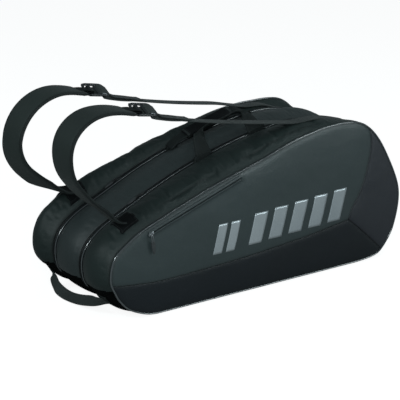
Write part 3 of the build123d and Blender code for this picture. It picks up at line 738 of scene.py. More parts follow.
# --------------------------------------------------------------- side panels
def outline_of(side):
    top = WB @ np.asarray(side, float)
    right = smooth_line([tuple(top[-1])] + SIDE_END, step=4.0)[1:]
    bottom = np.stack([np.linspace(258, -237, 100), np.full(100, 2.6)], 1)[1:]
    left = smooth_line(SIDE_START + [tuple(top[0])], step=4.0)[1:-1]
    loop = np.concatenate([top, right, bottom, left])
    keep = [0]
    for i in range(1, len(loop)):
        if np.linalg.norm(loop[i] - loop[keep[-1]]) > 1.4:
            keep.append(i)
    loop = loop[keep]
    if np.linalg.norm(loop[-1] - loop[0]) < 1.4:
        loop = loop[:-1]
    return loop


def dist_to(points, line, closed=False):
    P = np.asarray(points, float)
    A = np.asarray(line, float)
    B = np.roll(A, -1, 0) if closed else A[1:]
    A = A if closed else A[:-1]
    best = np.full(len(P), 1e9)
    for s in range(0, len(A), 64):
        a, b = A[s:s + 64], B[s:s + 64]
        ab = b - a
        t = np.clip(((P[:, None] - a[None]) * ab[None]).sum(2) / np.maximum((ab ** 2).sum(1), 1e-9)[None], 0, 1)
        d = np.linalg.norm(P[:, None] - (a[None] + t[..., None] * ab[None]), axis=2)
        best = np.minimum(best, d.min(1))
    return best


def inside(points, loop):
    P, L = np.asarray(points, float), np.asarray(loop, float)
    M2 = np.roll(L, -1, 0)
    res = np.zeros(len(P), bool)
    for (x1, y1), (x2, y2) in zip(L, M2):
        c = (y1 > P[:, 1]) != (y2 > P[:, 1])
        if c.any():
            xi = (x2 - x1) * (P[:, 1] - y1) / (y2 - y1 + 1e-12) + x1
            res ^= c & (P[:, 0] < xi)
    return res


OUT_NEAR, OUT_FAR = outline_of(SIDE), outline_of(FAR_SIDE)
LOW = smooth_line(SEAM_LOW, step=5.0)
ENDL = smooth_line(SEAM_END, step=5.0)
TAIL = smooth_line(SEAM_TAIL, step=5.0)
POCK_A, POCK_B = np.array([-288.0, 172.0]), np.array([-66.0, 248.0])
POCK_D = (POCK_B - POCK_A) / np.linalg.norm(POCK_B - POCK_A)
POCK_N = np.array([-POCK_D[1], POCK_D[0]])
POCK_L = float(np.linalg.norm(POCK_B - POCK_A))
ZIP_RISE = 5.4


def swell_panel(pts, outline, seams, near, seed):
    """Outward rise of a padded side panel at points of the profile plane, and the painted shade along its edges, seam
    grooves and pocket welt.
    """
    pts = np.asarray(pts, float)
    d = dist_to(pts, outline, True)
    h = 2.3 * (1 - np.exp(-d / 4.0)) + 8.2 * (1 - np.exp(-d / 48.0))
    ds = np.min([dist_to(pts, s) for s in seams], axis=0)
    groove = np.exp(-(ds / 2.0) ** 2)
    h -= 1.1 * groove + 1.5 * np.exp(-ds / 16.0)
    nz = np.array([1.5 * wob(x, 0, z, 150, seed) + 0.75 * wob(x, 0, z, 58, seed + 5) + 0.28 * wob(x, 0, z, 21, seed + 9)
                   for x, z in pts])
    h += nz * (1 - np.exp(-d / 14.0))
    pk = np.array([wob(x, 0, z, 9, seed + 2) for x, z in pts])
    h += 0.55 * pk * np.exp(-d / 9.0) * (1 - np.exp(-d / 1.6))
    h += 0.4 * pk * np.exp(-ds / 7.0) * (1 - groove)
    # painted shade next to the outline piping and in the seam grooves
    shade_mask = np.maximum(0.75 * np.exp(-((d - 0.5) / 2.2) ** 2), 0.6 * groove)
    if near:
        rel = pts - POCK_A
        s, w = rel @ POCK_D, rel @ POCK_N
        along = np.clip(np.minimum(s + 14, POCK_L + 14 - s) / 14.0, 0, 1)
        k = np.exp(-(w / 11.0) ** 2) * along ** 0.5
        h = h * (1 - k) + ZIP_RISE * k
        # painted shade along both edges of the raised pocket welt
        shade_mask = np.maximum(shade_mask, 0.35 * np.exp(-((np.abs(w) - 7.5) / 2.0) ** 2) * (along > 0.3))
    return h, shade_mask


def side_panel(which, outline, y0, sign):
    seams = [LOW, ENDL, TAIL]
    pts = [tuple(p) for p in outline]
    n0 = len(pts)
    edges = [(i, (i + 1) % n0) for i in range(n0)]

    def add_line(line):
        idx = []
        for p in line:
            if not inside([p], outline)[0] and dist_to([p], outline, True)[0] > 0.3:
                continue
            if dist_to([p], outline, True)[0] < 1.6:
                o = np.linalg.norm(np.asarray(pts[:n0]) - p, axis=1)
                k = int(o.argmin())
            else:
                q = np.linalg.norm(np.asarray(pts) - p, axis=1)
                k = int(q.argmin()) if q.min() < 0.05 else len(pts)
                if k == len(pts):
                    pts.append(tuple(p))
            if not idx or idx[-1] != k:
                idx.append(k)
        for a, b in zip(idx, idx[1:]):
            edges.append((a, b))

    for line in seams:
        inner = [p for p in line if inside([p], outline)[0]]
        first, last = inner[0], inner[-1]
        ext = list(inner)
        for end, at in ((line[0], 0), (line[-1], -1)):
            p = inner[0] if at == 0 else inner[-1]
            if not (abs(p[0] - 225) < 1e-6 and abs(p[1] - 106) < 1e-6) and dist_to([p], outline, True)[0] > 1.6:
                o = np.linalg.norm(outline - np.asarray(p), axis=1)
                d = np.asarray(p) - np.asarray(inner[2] if at == 0 else inner[-3])
                d /= np.linalg.norm(d)
                score = o - 0.9 * ((outline - np.asarray(p)) @ d)
                tgt = outline[int(score.argmin())]
                ext = [tuple(tgt)] + ext if at == 0 else ext + [tuple(tgt)]
        add_line([np.asarray(p, float) for p in ext])
    step = 5.2
    gx = np.arange(-372, 374, step)
    gz = np.arange(3, 318, step * 0.866)
    cand = np.array([(x + (step / 2 if r % 2 else 0), z) for r, z in enumerate(gz) for x in gx])
    cand = cand[inside(cand, outline)]
    d = dist_to(cand, outline, True)
    ds = np.min([dist_to(cand, s) for s in seams], axis=0)
    cand = cand[(d > 2.6) & (ds > 2.6)]
    pts += [tuple(p) for p in cand]
    # finer rows beside the seams so that their grooves are real
    for s in seams:
        nn = left_normals(np.asarray(s))
        for o in (-1.3, 1.3):
            row = np.asarray(s)[1:-1] + nn[1:-1] * o
            row = row[inside(row, outline)]
            dd = dist_to(row, outline, True)
            others = np.min([dist_to(row, q) for q in seams], axis=0)
            pts += [tuple(p) for p in row[(dd > 1.6) & (others > 1.0)]]
    nn = left_normals(np.r_[outline[-1:], outline, outline[:1]])[1:-1]
    probe = outline + nn * 1.2
    sgn = 1 if inside(probe[[10]], outline)[0] else -1
    for o in (1.1,):
        row = outline + nn * o * sgn
        row = row[inside(row, outline)]
        others = np.min([dist_to(row, q) for q in seams], axis=0)
        pts += [tuple(p) for p in row[others > 1.0]]
    V2 = [Vector((p[0], p[1])) for p in pts]
    vo, eo, fo, _, _, _ = delaunay_2d_cdt(V2, edges, [], 0, 1e-4)
    vo = np.array([tuple(v) for v in vo])
    cen = np.array([vo[list(f)].mean(0) for f in fo])
    ok = inside(cen, outline)
    faces = [tuple(f) for f, k in zip(fo, ok) if k]
    cen = cen[ok]
    h, shade_mask = swell_panel(vo, outline, seams, which == "near", 21.0 if which == "near" else 33.0)
    low_poly = np.concatenate([LOW[::1], TAIL, [(329, -60), (-420, -60), (-420, 79)]])
    low_poly = np.concatenate([[(-420, 79)], LOW, TAIL[1:], [(352, -20), (352, -60), (-420, -60)]])
    end_poly = np.concatenate([ENDL, [(276, 340), (440, 340), (440, -20), (352, -20)], TAIL[::-1][:-1]])
    is_low = inside(cen, low_poly)
    is_end = inside(cen, end_poly)
    kind = np.where(is_low, 1, np.where(is_end, 2, 0))
    slots = ("panel_fabric", "panel_fabric_dark", "panel_fabric_end")
    mats = (M("panel"), M("panel_dark"), M("panel_end"))
    obs = []
    ylocal = y0 + sign * (2.0 + h)
    for k, (part, mat, sl) in enumerate(zip(("main", "lower", "end"), mats, slots)):
        fs = [f for f, q in zip(faces, kind) if q == k]
        used = np.unique(np.concatenate([np.array(f) for f in fs]))
        remap = -np.ones(len(vo), int)
        remap[used] = np.arange(len(used))
        V = np.stack([vo[used, 0], ylocal[used], vo[used, 1]], 1)
        F = [tuple(remap[list(f)]) for f in fs]
        # the mesh carries the painted shade along its edges and seams
        ob = make(f"{which}_panel_{part}_cloth", V, F, mat, uv=vo[used], seam_shade=shade_mask[used])
        # every face to the outside
        ob.data.update()
        if sum(p.normal.y * sign * p.area for p in ob.data.polygons) < 0:
            ob.data.flip_normals()
        thick(ob, 2.4, -1.0)
        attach(ob, f"{which}_shell")
        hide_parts(f"{which}_panel_{part}")
        obs.append(ob)
    return obs


near_panels = side_panel("near", OUT_NEAR, PANEL_NEAR, -1)
far_panels = side_panel("far", OUT_FAR, PANEL_FAR, 1)


def panel_y(pts, near=True):
    out = OUT_NEAR if near else OUT_FAR
    h, _ = swell_panel(pts, out, [LOW, ENDL, TAIL], near, 21.0 if near else 33.0)
    return (PANEL_NEAR - 2.0 - h) if near else (PANEL_FAR + 2.0 + h)


# ------------------------------------------------------------------- pipings
def ring_path(outline, push):
    nn = left_normals(np.r_[outline[-1:], outline, outline[:1]])[1:-1]
    sgn = -1 if inside((outline + nn * 1.2)[[10]], outline)[0] else 1
    return outline + nn * push * sgn


def closed_tube(name, path3, radius, mat, sides=12):
    p = np.asarray(path3, float)
    t = np.roll(p, -1, 0) - np.roll(p, 1, 0)
    t /= np.linalg.norm(t, axis=1)[:, None]
    yv = np.array([0, 1.0, 0])
    n = np.cross(t, yv)
    n /= np.linalg.norm(n, axis=1)[:, None]
    ang = np.linspace(0, 2 * math.pi, sides, endpoint=False)
    P = p[:, None] + radius * (np.cos(ang)[None, :, None] * n[:, None] + np.sin(ang)[None, :, None] * yv[None, None])
    nt = len(p)
    f = grid_faces(nt, sides, True, True)
    s = chord(np.r_[p, p[:1]])[:-1]
    uv = np.stack([np.repeat(s[:, None], sides, 1), np.repeat((ang * radius)[None], nt, 0)], 2)
    return make(name, P.reshape(-1, 3), f, mat, uv=uv.reshape(-1, 2))


for which, out, y0, sign in (("near", OUT_NEAR, PANEL_NEAR, -1), ("far", OUT_FAR, PANEL_FAR, 1)):
    r = ring_path(out, 0.7)
    wav = np.array([0.25 * wob(x, 0, z, 40, 2.2) for x, z in r])
    path = np.stack([r[:, 0], np.full(len(r), y0 + sign * 1.9) + wav, np.maximum(r[:, 1], 1.9)], 1)
    cord_ob = closed_tube(f"{which}_panel_piping_tube", path, 1.75, M("piping"))
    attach(cord_ob, f"{which}_shell")
    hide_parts(f"{which}_panel_piping")

for nm, y, body, node in (("near_gusset_piping_tube", -47.1, "near_shell", "near_gusset_piping"),
                          ("centre_piping_tube", 47.9, "main_body", "centre_piping")):
    q = MID + MIDN * 0.9
    wav = np.array([0.25 * wob(x, y, z, 40, 2.2) for x, z in q])
    ob = tube(nm, np.stack([q[:, 0], y + wav, q[:, 1]], 1), 1.3, M("piping"))
    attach(ob, body)
    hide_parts(node)


# --------------------------------------------------------------------- zips
def along_mid(off, lo=0, hi=NT):
    return (MID + MIDN * off)[lo:hi]


def tape(name, ya, yb, off, body, node, lip=0.0):
    q0 = along_mid(0)
    ys = np.linspace(ya, yb, 7)
    P = np.zeros((NT, 7, 3))
    for j, y in enumerate(ys):
        o = off + lip * math.sin(math.pi * j / 6.0)
        q = along_mid(o)
        P[:, j, 0], P[:, j, 1], P[:, j, 2] = q[:, 0], y, q[:, 1]
    ob = grid(name, P, M("tape"))
    orient_out(ob)
    thick(ob, 0.9, 0.0)
    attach(ob, body)
    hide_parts(node)
    return ob


def teeth(name, line3, across, up_n, pitch, reach, mat, body, node, phase=0.0, w=0.95, hgt=1.5):
    """Coil of a zip: a small bent loop at each pitch along the line."""
    p = np.asarray(line3, float)
    s = chord(p)
    n = int((s[-1] - pitch) / pitch)
    pos = (np.arange(n) + 0.5 + phase) * pitch
    C = np.stack([np.interp(pos, s, p[:, i]) for i in range(3)], 1)
    U = np.stack([np.interp(pos, s, np.asarray(up_n)[:, i]) for i in range(3)], 1)
    T = np.stack([np.interp(pos, s, np.gradient(p[:, i], s)) for i in range(3)], 1)
    T /= np.linalg.norm(T, axis=1)[:, None]
    A = np.asarray(across, float)[None] * np.ones((n, 1))
    prof = [(0.0, -0.1, 0.42), (0.22, 0.55, 0.5), (0.6, 0.72, 0.5), (0.9, 0.5, 0.6), (1.0, 0.15, 0.45)]
    k = len(prof)
    V = np.zeros((n, k, 4, 3))
    for j, (a, h, ww) in enumerate(prof):
        c = C + A * (a * reach) + U * (h * hgt * 0.55)
        for m2, (dw, dh) in enumerate(((-1, -1), (1, -1), (1, 1), (-1, 1))):
            V[:, j, m2] = c + T * (dw * ww * w * 0.5) + U * (dh * hgt * 0.28)
    F = []
    for i in range(n):
        b = i * k * 4
        for j in range(k - 1):
            for m2 in range(4):
                a0, a1 = b + j * 4 + m2, b + j * 4 + (m2 + 1) % 4
                F.append((a0, a1, a1 + 4, a0 + 4))
        F.append((b + 3, b + 2, b + 1, b))
        e = b + (k - 1) * 4
        F.append((e, e + 1, e + 2, e + 3))
    ob = make(name, V.reshape(-1, 3), F, mat, smooth=False)
    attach(ob, body)
    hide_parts(node)
    return ob


UPN = np.stack([MIDN[:, 0], np.zeros(NT), MIDN[:, 1]], 1)


def mid3(y, off):
    q = along_mid(off)
    return np.stack([q[:, 0], np.full(len(q), y), q[:, 1]], 1)


tape("near_zip_tape_outer_cloth", -45.6, -41.3, 0.2, "near_shell", "near_zip_tape_outer")
tape("near_zip_tape_inner_cloth", -40.7, -36.3, 0.2, "main_body", "near_zip_tape_inner")
tape("far_zip_tape_inner_cloth", 49.3, 53.4, 0.2, "main_body", "far_zip_tape_inner")
tape("far_zip_tape_outer_cloth", 53.9, 58.2, 0.2, "far_shell", "far_zip_tape_outer")
teeth("near_zip_teeth_outer", mid3(-43.4, 1.0), (0, 1, 0), UPN, 1.7, 2.3, M("coil"), "near_shell", "near_zip_coil_outer")
teeth("near_zip_teeth_inner", mid3(-38.6, 1.0), (0, -1, 0), UPN, 1.7, 2.3, M("coil"), "main_body", "near_zip_coil_inner", 0.5)
teeth("far_zip_teeth_inner", mid3(51.4, 1.0), (0, 1, 0), UPN, 1.7, 2.3, M("coil"), "main_body", "far_zip_coil_inner", 0.5)
teeth("far_zip_teeth_outer", mid3(56.2, 1.0), (0, -1, 0), UPN, 1.7, 2.3, M("coil"), "far_shell", "far_zip_coil_outer")

# ----------------------------------------------------------------- base cloth
def base_cloth():
    left = smooth_line(BASE_LEFT[::1], n=34)
    right = smooth_line([(256, 0), (298, 1.8), (320, 9.5), (330, 17), (339, 27)], n=26)
    midx = np.linspace(-240, 256, 100)[1:-1]
    base = np.concatenate([left, np.stack([midx, np.zeros(98)], 1), right])
    ln = len(left)
    ys, kinds = [], []
    rows = []
    seamv = []
    order = [("n", j) for j in range(0, len(NLU), 2)] + [("z", -44.0), ("z", -41.0)] + [("c", j) for j in range(0, 30, 2)] + \
            [("z", 50.0), ("z", 54.0)] + [("f", j) for j in range(len(FLU) - 1, -1, -2)]
    for kind, j in order:
        if kind == "n":
            top, top2, y = NLP[0, j], NLP[-1, j], NLP[0, j][1]
        elif kind == "f":
            top, top2, y = FLP[0, j], FLP[-1, j], FLP[0, j][1]
        elif kind == "c":
            top, top2, y = CP[0, j], CP[-1, j], CP[0, j][1]
        else:
            q = along_mid(0)
            top, top2, y = np.array([q[0, 0], j, q[0, 1]]), np.array([q[-1, 0], j, q[-1, 1]]), j
        y = max(-131.6, min(131.6, y))
        b = base.copy()
        d0 = np.array([top[0], top[2]]) - base[0]
        f = np.linspace(0, 1, ln)
        fade = (1 - f) ** 1.5 * (1 + 0.5 * f)
        b[:ln] += d0[None] * fade[:, None]
        d1 = np.array([top2[0], top2[2]]) - base[-1]
        g = np.linspace(0, 1, len(right))
        b[-len(right):] += d1[None] * (g ** 1.5)[:, None]
        b[:, 1] = np.maximum(b[:, 1], 0.0)
        rows.append(np.stack([b[:, 0], np.full(len(b), y), b[:, 1]], 1))
    P = np.asarray(rows).transpose(1, 0, 2)
    nt, nu = P.shape[:2]
    seam_shade = np.zeros((nt, nu))
    for i in range(nt):
        for j in range(nu):
            x, y, z = P[i, j]
            e = 131.6 - abs(y)
            lift = 0.5 + 0.9 * wob(x, y, z, 45, 8.8)
            if z < 6:
                P[i, j, 2] += max(0.0, lift) * (1 - math.exp(-e / 10))
            # painted shade darkens the base along its edges, where it meets the side panels
            seam_shade[i, j] = 0.6 * math.exp(-(e / 3) ** 2)
    ob = grid("base_cloth", P, M("base"), seam_shade=seam_shade)
    me = ob.data
    low = [p for p in me.polygons if p.center.z < 0.003]
    if sum(p.normal.z for p in low) > 0:
        me.flip_normals()
    thick(ob, 2.0, -1.0)
    return ob, P


base, BASE_P = base_cloth()
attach(base, "main_body")
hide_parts("base_panel")
board = nodes["base_stiffener_board"]
board.data.materials.clear()
board.data.materials.append(M("board"))


# ------------------------------------------------------------ inside the bag
def inner_sheet(name, outline, y, shrink, body, node, mat, seed, amp=1.1, top_cut=None):
    c = outline.mean(0)
    loop = ring_path(outline, -shrink)
    keep = inside(loop, outline)
    loop = loop[keep]
    step = 9.0
    gx = np.arange(-370, 372, step)
    gz = np.arange(6, 316, step)
    cand = np.array([(x, z) for z in gz for x in gx])
    cand = cand[inside(cand, loop)]
    cand = cand[dist_to(cand, loop, True) > 3.5]
    L = loop[::2]
    V2 = [Vector((p[0], p[1])) for p in L] + [Vector((p[0], p[1])) for p in cand]
    vo, _, fo, _, _, _ = delaunay_2d_cdt(V2, [(i, (i + 1) % len(L)) for i in range(len(L))], [], 1, 1e-4)
    vo = np.array([tuple(v) for v in vo])
    d = dist_to(vo, L, True)
    yy = np.array([y + amp * wob(x, 0, z, 60, seed) * (1 - math.exp(-dd / 20)) for (x, z), dd in zip(vo, d)])
    ob = make(name, np.stack([vo[:, 0], yy, vo[:, 1]], 1), [tuple(f) for f in fo], mat, uv=vo)
    thick(ob, 0.7, 0.0)
    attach(ob, body)
    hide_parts(node)
    return ob


DIV_OUT = np.array([p for p in np.concatenate([MID + MIDN * -6.5, smooth_line([(330, 26), (310, 14), (270, 8.6)], n=8),
                                               np.array([(x, 8.6) for x in np.linspace(255, -250, 60)]),
                                               smooth_line([(-270, 9.5), (-310, 19), (-335, 35), (-352, 50)], n=12)])])
inner_sheet("near_lining_cloth", OUT_NEAR, -130.6, 7.2, "near_shell", "near_lining", M("lining"), 51.0, amp=0.5)
inner_sheet("far_lining_cloth", OUT_FAR, 130.6, 7.2, "far_shell", "far_lining", M("lining"), 61.0, amp=0.5)


def divider():
    L = DIV_OUT
    keep = [0]
    for i in range(1, len(L)):
        if np.linalg.norm(L[i] - L[keep[-1]]) > 3.0:
            keep.append(i)
    L = L[keep]
    step = 8.0
    cand = np.array([(x, z) for z in np.arange(12, 306, step) for x in np.arange(-370, 366, step)])
    cand = cand[inside(cand, L)]
    cand = cand[dist_to(cand, L, True) > 3.2]
    V2 = [Vector((p[0], p[1])) for p in L] + [Vector((p[0], p[1])) for p in cand]
    vo, _, fo, _, _, _ = delaunay_2d_cdt(V2, [(i, (i + 1) % len(L)) for i in range(len(L))], [], 1, 1e-4)
    vo = np.array([tuple(v) for v in vo])
    d = dist_to(vo, L, True)
    half = 1.1 + 1.5 * (1 - np.exp(-d / 12.0))
    mid = np.array([5.0 + 2.2 * wob(x, 0, z, 120, 71) * (1 - math.exp(-dd / 30)) for (x, z), dd in zip(vo, d)])
    n = len(vo)
    V = np.concatenate([np.stack([vo[:, 0], mid - half, vo[:, 1]], 1), np.stack([vo[:, 0], mid + half, vo[:, 1]], 1)])
    F = [tuple(f) for f in fo] + [tuple(v + n for v in f[::-1]) for f in fo]
    ne = len(L)
    rim = np.arange(ne)
    # boundary vertices keep their input order in the triangulation
    for i in range(ne):
        a, b = i, (i + 1) % ne
        F.append((b, a, a + n, b + n))
    ob = make("centre_divider_cloth", V, F, M("foam"), uv=np.concatenate([vo, vo]))
    bpy.context.view_layer.objects.active = ob
    for o in bpy.context.selected_objects:
        o.select_set(False)
    ob.select_set(True)
    bpy.ops.object.mode_set(mode="EDIT")
    bpy.ops.mesh.select_all(action="SELECT")
    bpy.ops.mesh.normals_make_consistent(inside=False)
    bpy.ops.object.mode_set(mode="OBJECT")
    ob.select_set(False)
    return ob


div = divider()
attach(div, "main_body")
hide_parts("centre_divider")


def pouch():
    """Flat inner pocket bag behind the pocket zip."""
    corners = [(-275, 85), (-73, 85), (-73, 239), (-275, 170)]
    us, vs = np.linspace(0, 1, 26), np.linspace(0, 1, 20)
    V = np.zeros((26, 20, 3))
    W = np.zeros((26, 20, 3))
    for i, u in enumerate(us):
        for j, v in enumerate(vs):
            x = -275 + 202 * u
            z0, z1 = 85.0, 170.0 + (239 - 170) * u
            z = z0 + (z1 - z0) * v
            e = min(u * 202, (1 - u) * 202, v * (z1 - z0), (1 - v) * (z1 - z0))
            th = 3.0 * (1 - math.exp(-e / 14))
            n1 = 0.4 * wob(x, 0, z, 40, 81) * (1 - math.exp(-e / 14))
            V[i, j] = (x, -126.4 - th * 0.55 + n1, z)
            W[i, j] = (x, -126.4 + th * 0.55 + n1, z)
    nt, nu = 26, 20
    F = grid_faces(nt, nu)
    n = nt * nu
    F2 = [tuple(q + n for q in f[::-1]) for f in F]
    rim = [i * nu for i in range(nt)] + [(nt - 1) * nu + j for j in range(1, nu)] + \
          [i * nu + nu - 1 for i in range(nt - 2, -1, -1)] + [j for j in range(nu - 2, 0, -1)]
    F3 = [(a, b, b + n, a + n) for a, b in zip(rim, rim[1:] + rim[:1])]
    P = np.concatenate([V.reshape(-1, 3), W.reshape(-1, 3)])
    ob = make("pocket_pouch_cloth", P, F + F2 + F3, M("lining"), uv=P[:, [0, 2]])
    bpy.context.view_layer.objects.active = ob
    ob.select_set(True)
    bpy.ops.object.mode_set(mode="EDIT")
    bpy.ops.mesh.select_all(action="SELECT")
    bpy.ops.mesh.normals_make_consistent(inside=False)
    bpy.ops.object.mode_set(mode="OBJECT")
    ob.select_set(False)
    return ob


pp = pouch()
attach(pp, "near_shell")
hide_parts("pocket_pouch")


# --------------------------------------------------------------- pocket zip
PN3 = np.array([POCK_N[0], 0, POCK_N[1]])
PD3 = np.array([POCK_D[0], 0, POCK_D[1]])
ZIP_Y = PANEL_NEAR - 2.0 - ZIP_RISE


def pock3(s, w, y):
    p = POCK_A + POCK_D * s + POCK_N * w
    return np.array([p[0], y, p[1]])


def pocket_tape():
    ss = np.linspace(0.5, POCK_L - 0.5, 110)
    parts = []
    for sg in (-1, 1):
        ws = np.array([1.2, 1.25, 1.6, 2.2, 3.4, 5.0, 6.4, 6.9])
        hs = np.array([-0.3, 0.5, 1.15, 1.45, 1.35, 0.8, 0.35, -0.2])
        P = np.zeros((110, len(ws), 3))
        for i, s in enumerate(ss):
            for j, (w, h) in enumerate(zip(ws, hs)):
                wv = 0.18 * wob(s, w * sg, 0, 22, 3)
                P[i, j] = pock3(s, sg * (w + (0.25 * wob(s, sg * 9, 0, 30, 9) if j < 3 else 0)), ZIP_Y - h - wv)
        # painted shade darkens the welt at its inner edge by the coil and at its outer edge
        ob = grid("w", P, M("welt"), seam_shade=np.repeat(np.array([[1.0, 0.6, 0.1, 0, 0, 0, 0.3, 0.8]]), 110, 0))
        if sum(p.normal.y for p in ob.data.polygons) > 0:
            ob.data.flip_normals()
        thick(ob, 0.5, -1.0)
        parts.append(ob)
        line = np.array([pock3(s, sg * 5.3, ZIP_Y - 0.85) for s in np.linspace(1, POCK_L - 1, 140)])
        parts.append(stitches("st", line, (0, -1, 0), 3.0, 2.1, 0.24, M("thread"), 0.05))
    P = np.zeros((60, 5, 3))
    for i, s in enumerate(np.linspace(1.0, POCK_L - 1.0, 60)):
        for j, w in enumerate(np.linspace(-4, 4, 5)):
            P[i, j] = pock3(s, w, ZIP_Y + 0.05)
    tp = grid("w", P, M("tape"))
    if sum(p.normal.y for p in tp.data.polygons) > 0:
        tp.data.flip_normals()
    thick(tp, 0.4, -1.0)
    parts.append(tp)
    for end, sg in ((0.5, -1), (POCK_L - 0.5, 1)):
        for k in range(1):
            ln = np.array([pock3(end + sg * 1.0, w, ZIP_Y - 0.9) for w in np.linspace(-6, 6, 12)])
            parts.append(stitches("st", ln, (0, -1, 0), 1.4, 1.2, 0.35, M("thread"), 0.1))
    ob = join("pocket_zip_tape_cloth", parts)
    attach(ob, "near_shell")
    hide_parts("pocket_zip_tape")


pocket_tape()
zl = np.array([pock3(s, 0, ZIP_Y - 0.35) for s in np.linspace(2, POCK_L - 2, 200)])
t1 = teeth("pocket_coil_a", zl + PN3 * 1.5, -PN3, np.array([[0, -1.0, 0]] * 200), 1.5, 1.8, M("coil"), "near_shell", "pocket_zip_coil", 0.0, 0.85, 1.0)
t2 = teeth("pocket_coil_b", zl - PN3 * 1.5, PN3, np.array([[0, -1.0, 0]] * 200), 1.5, 1.9, M("coil"), "near_shell", "pocket_zip_coil", 0.5, 0.85, 1.0)


def block(name, profile, half, mat, origin, xdir, zdir, ydir, bevel=0.35, seg=3):
    """A prism of the (along, up) profile, half wide each side, in its own axes, with rounded edges."""
    n = len(profile)
    V = []
    for sgn in (-1, 1):
        for a, b in profile:
            V.append(np.asarray(origin, float) + np.asarray(xdir) * a + np.asarray(zdir) * b + np.asarray(ydir) * (half * sgn))
    F = [tuple(range(n))[::-1], tuple(range(n, 2 * n))]
    F += [(i, (i + 1) % n, (i + 1) % n + n, i + n) for i in range(n)]
    ob = make(name, V, F, mat, smooth=False)
    bm = ob.modifiers.new("b", "BEVEL")
    bm.width = bevel * 0.001
    bm.segments = seg
    bm.limit_method = "ANGLE"
    bm.angle_limit = math.radians(25)
    apply_mods(ob)
    me = ob.data
    me.polygons.foreach_set("use_smooth", np.full(len(me.polygons), True))
    bpy.context.view_layer.objects.active = ob
    ob.select_set(True)
    bpy.ops.object.mode_set(mode="EDIT")
    bpy.ops.mesh.select_all(action="SELECT")
    bpy.ops.mesh.normals_make_consistent(inside=False)
    bpy.ops.object.mode_set(mode="OBJECT")
    ob.select_set(False)
    return ob


def outline_plate(name, outer, holes, t, mat, origin, xdir, ydir, zdir, bevel=0.3):
    """Plate with holes; outer and holes are loops of (x, y); thickness along zdir from 0 to t."""
    pts, edges = [], []
    for lp in [outer] + holes:
        b = len(pts)
        pts += [Vector(p) for p in lp]
        edges += [(b + i, b + (i + 1) % len(lp)) for i in range(len(lp))]
    vo, _, fo, _, _, _ = delaunay_2d_cdt(pts, edges, [], 1, 1e-5)
    vo = np.array([tuple(v) for v in vo])
    fs = []
    for f in fo:
        c = vo[list(f)].mean(0)[None]
        if all(not inside(c, h)[0] for h in holes):
            fs.append(tuple(f))
    O, X, Y, Z = (np.asarray(v, float) for v in (origin, xdir, ydir, zdir))
    V = O + vo[:, :1] * X + vo[:, 1:] * Y
    ob = make(name, V, fs, mat, smooth=False)
    ob.data.update()
    nv = np.array(sum((p.normal * p.area for p in ob.data.polygons), Vector()))
    if nv @ Z < 0:
        ob.data.flip_normals()
    thick(ob, t, 1.0, False)
    bm = ob.modifiers.new("b", "BEVEL")
    bm.width = bevel * 0.001
    bm.segments = 2
    bm.limit_method = "ANGLE"
    bm.angle_limit = math.radians(40)
    apply_mods(ob)
    ob.data.polygons.foreach_set("use_smooth", np.full(len(ob.data.polygons), True))
    return ob


def rounded_rect(x0, y0, x1, y1, r, k=5):
    out = []
    for cx, cy, a0 in ((x1 - r, y0 + r, -90), (x1 - r, y1 - r, 0), (x0 + r, y1 - r, 90), (x0 + r, y0 + r, 180)):
        for i in range(k + 1):
            a = math.radians(a0 + 90 * i / k)
            out.append((cx + r * math.cos(a), cy + r * math.sin(a)))
    return out


def slider_body(prefix, origin, X, Y, Z, length=12.0, w=7.2, mat=None):
    """Zip slider: top plate tapering to the back, two side rails and puller bail."""
    mat = mat or M("metal")
    O, X, Y, Z = (np.asarray(v, float) for v in (origin, X, Y, Z))
    h = w / 2
    shape = [(-length / 2, -h * 0.55), (-length * 0.28, -h * 0.72), (length * 0.12, -h), (length * 0.40, -h * 0.98), (length / 2, -h * 0.62),
             (length / 2, h * 0.62), (length * 0.40, h * 0.98), (length * 0.12, h), (-length * 0.28, h * 0.72), (-length / 2, h * 0.55)]
    top = outline_plate("p", shape, [], 0.9, mat, O, X, Y, Z, 0.3)
    arch = []
    m = 12
    for i in range(m + 1):
        a = math.pi * i / m
        arch.append((length * 0.30 * math.cos(a), 0.8 + 2.3 * math.sin(a) ** 0.7))
    inner = [(x * 0.72, 0.8 + (z - 0.8) * 0.62) for x, z in arch][::-1]
    bail = block("p", arch + inner, 1.0, mat, O, X, Z, Y, 0.25, 2)
    rails = []
    for sgn in (-1, 1):
        rails.append(block("p", [(-length * 0.3, 0.05), (length * 0.42, 0.05), (length * 0.42, -1.5), (-length * 0.3, -1.3)], 0.35, mat,
                           O + Y * (sgn * (h * 0.80)), X, Z, Y, 0.15, 2))
    return join(prefix, [top, bail] + rails)


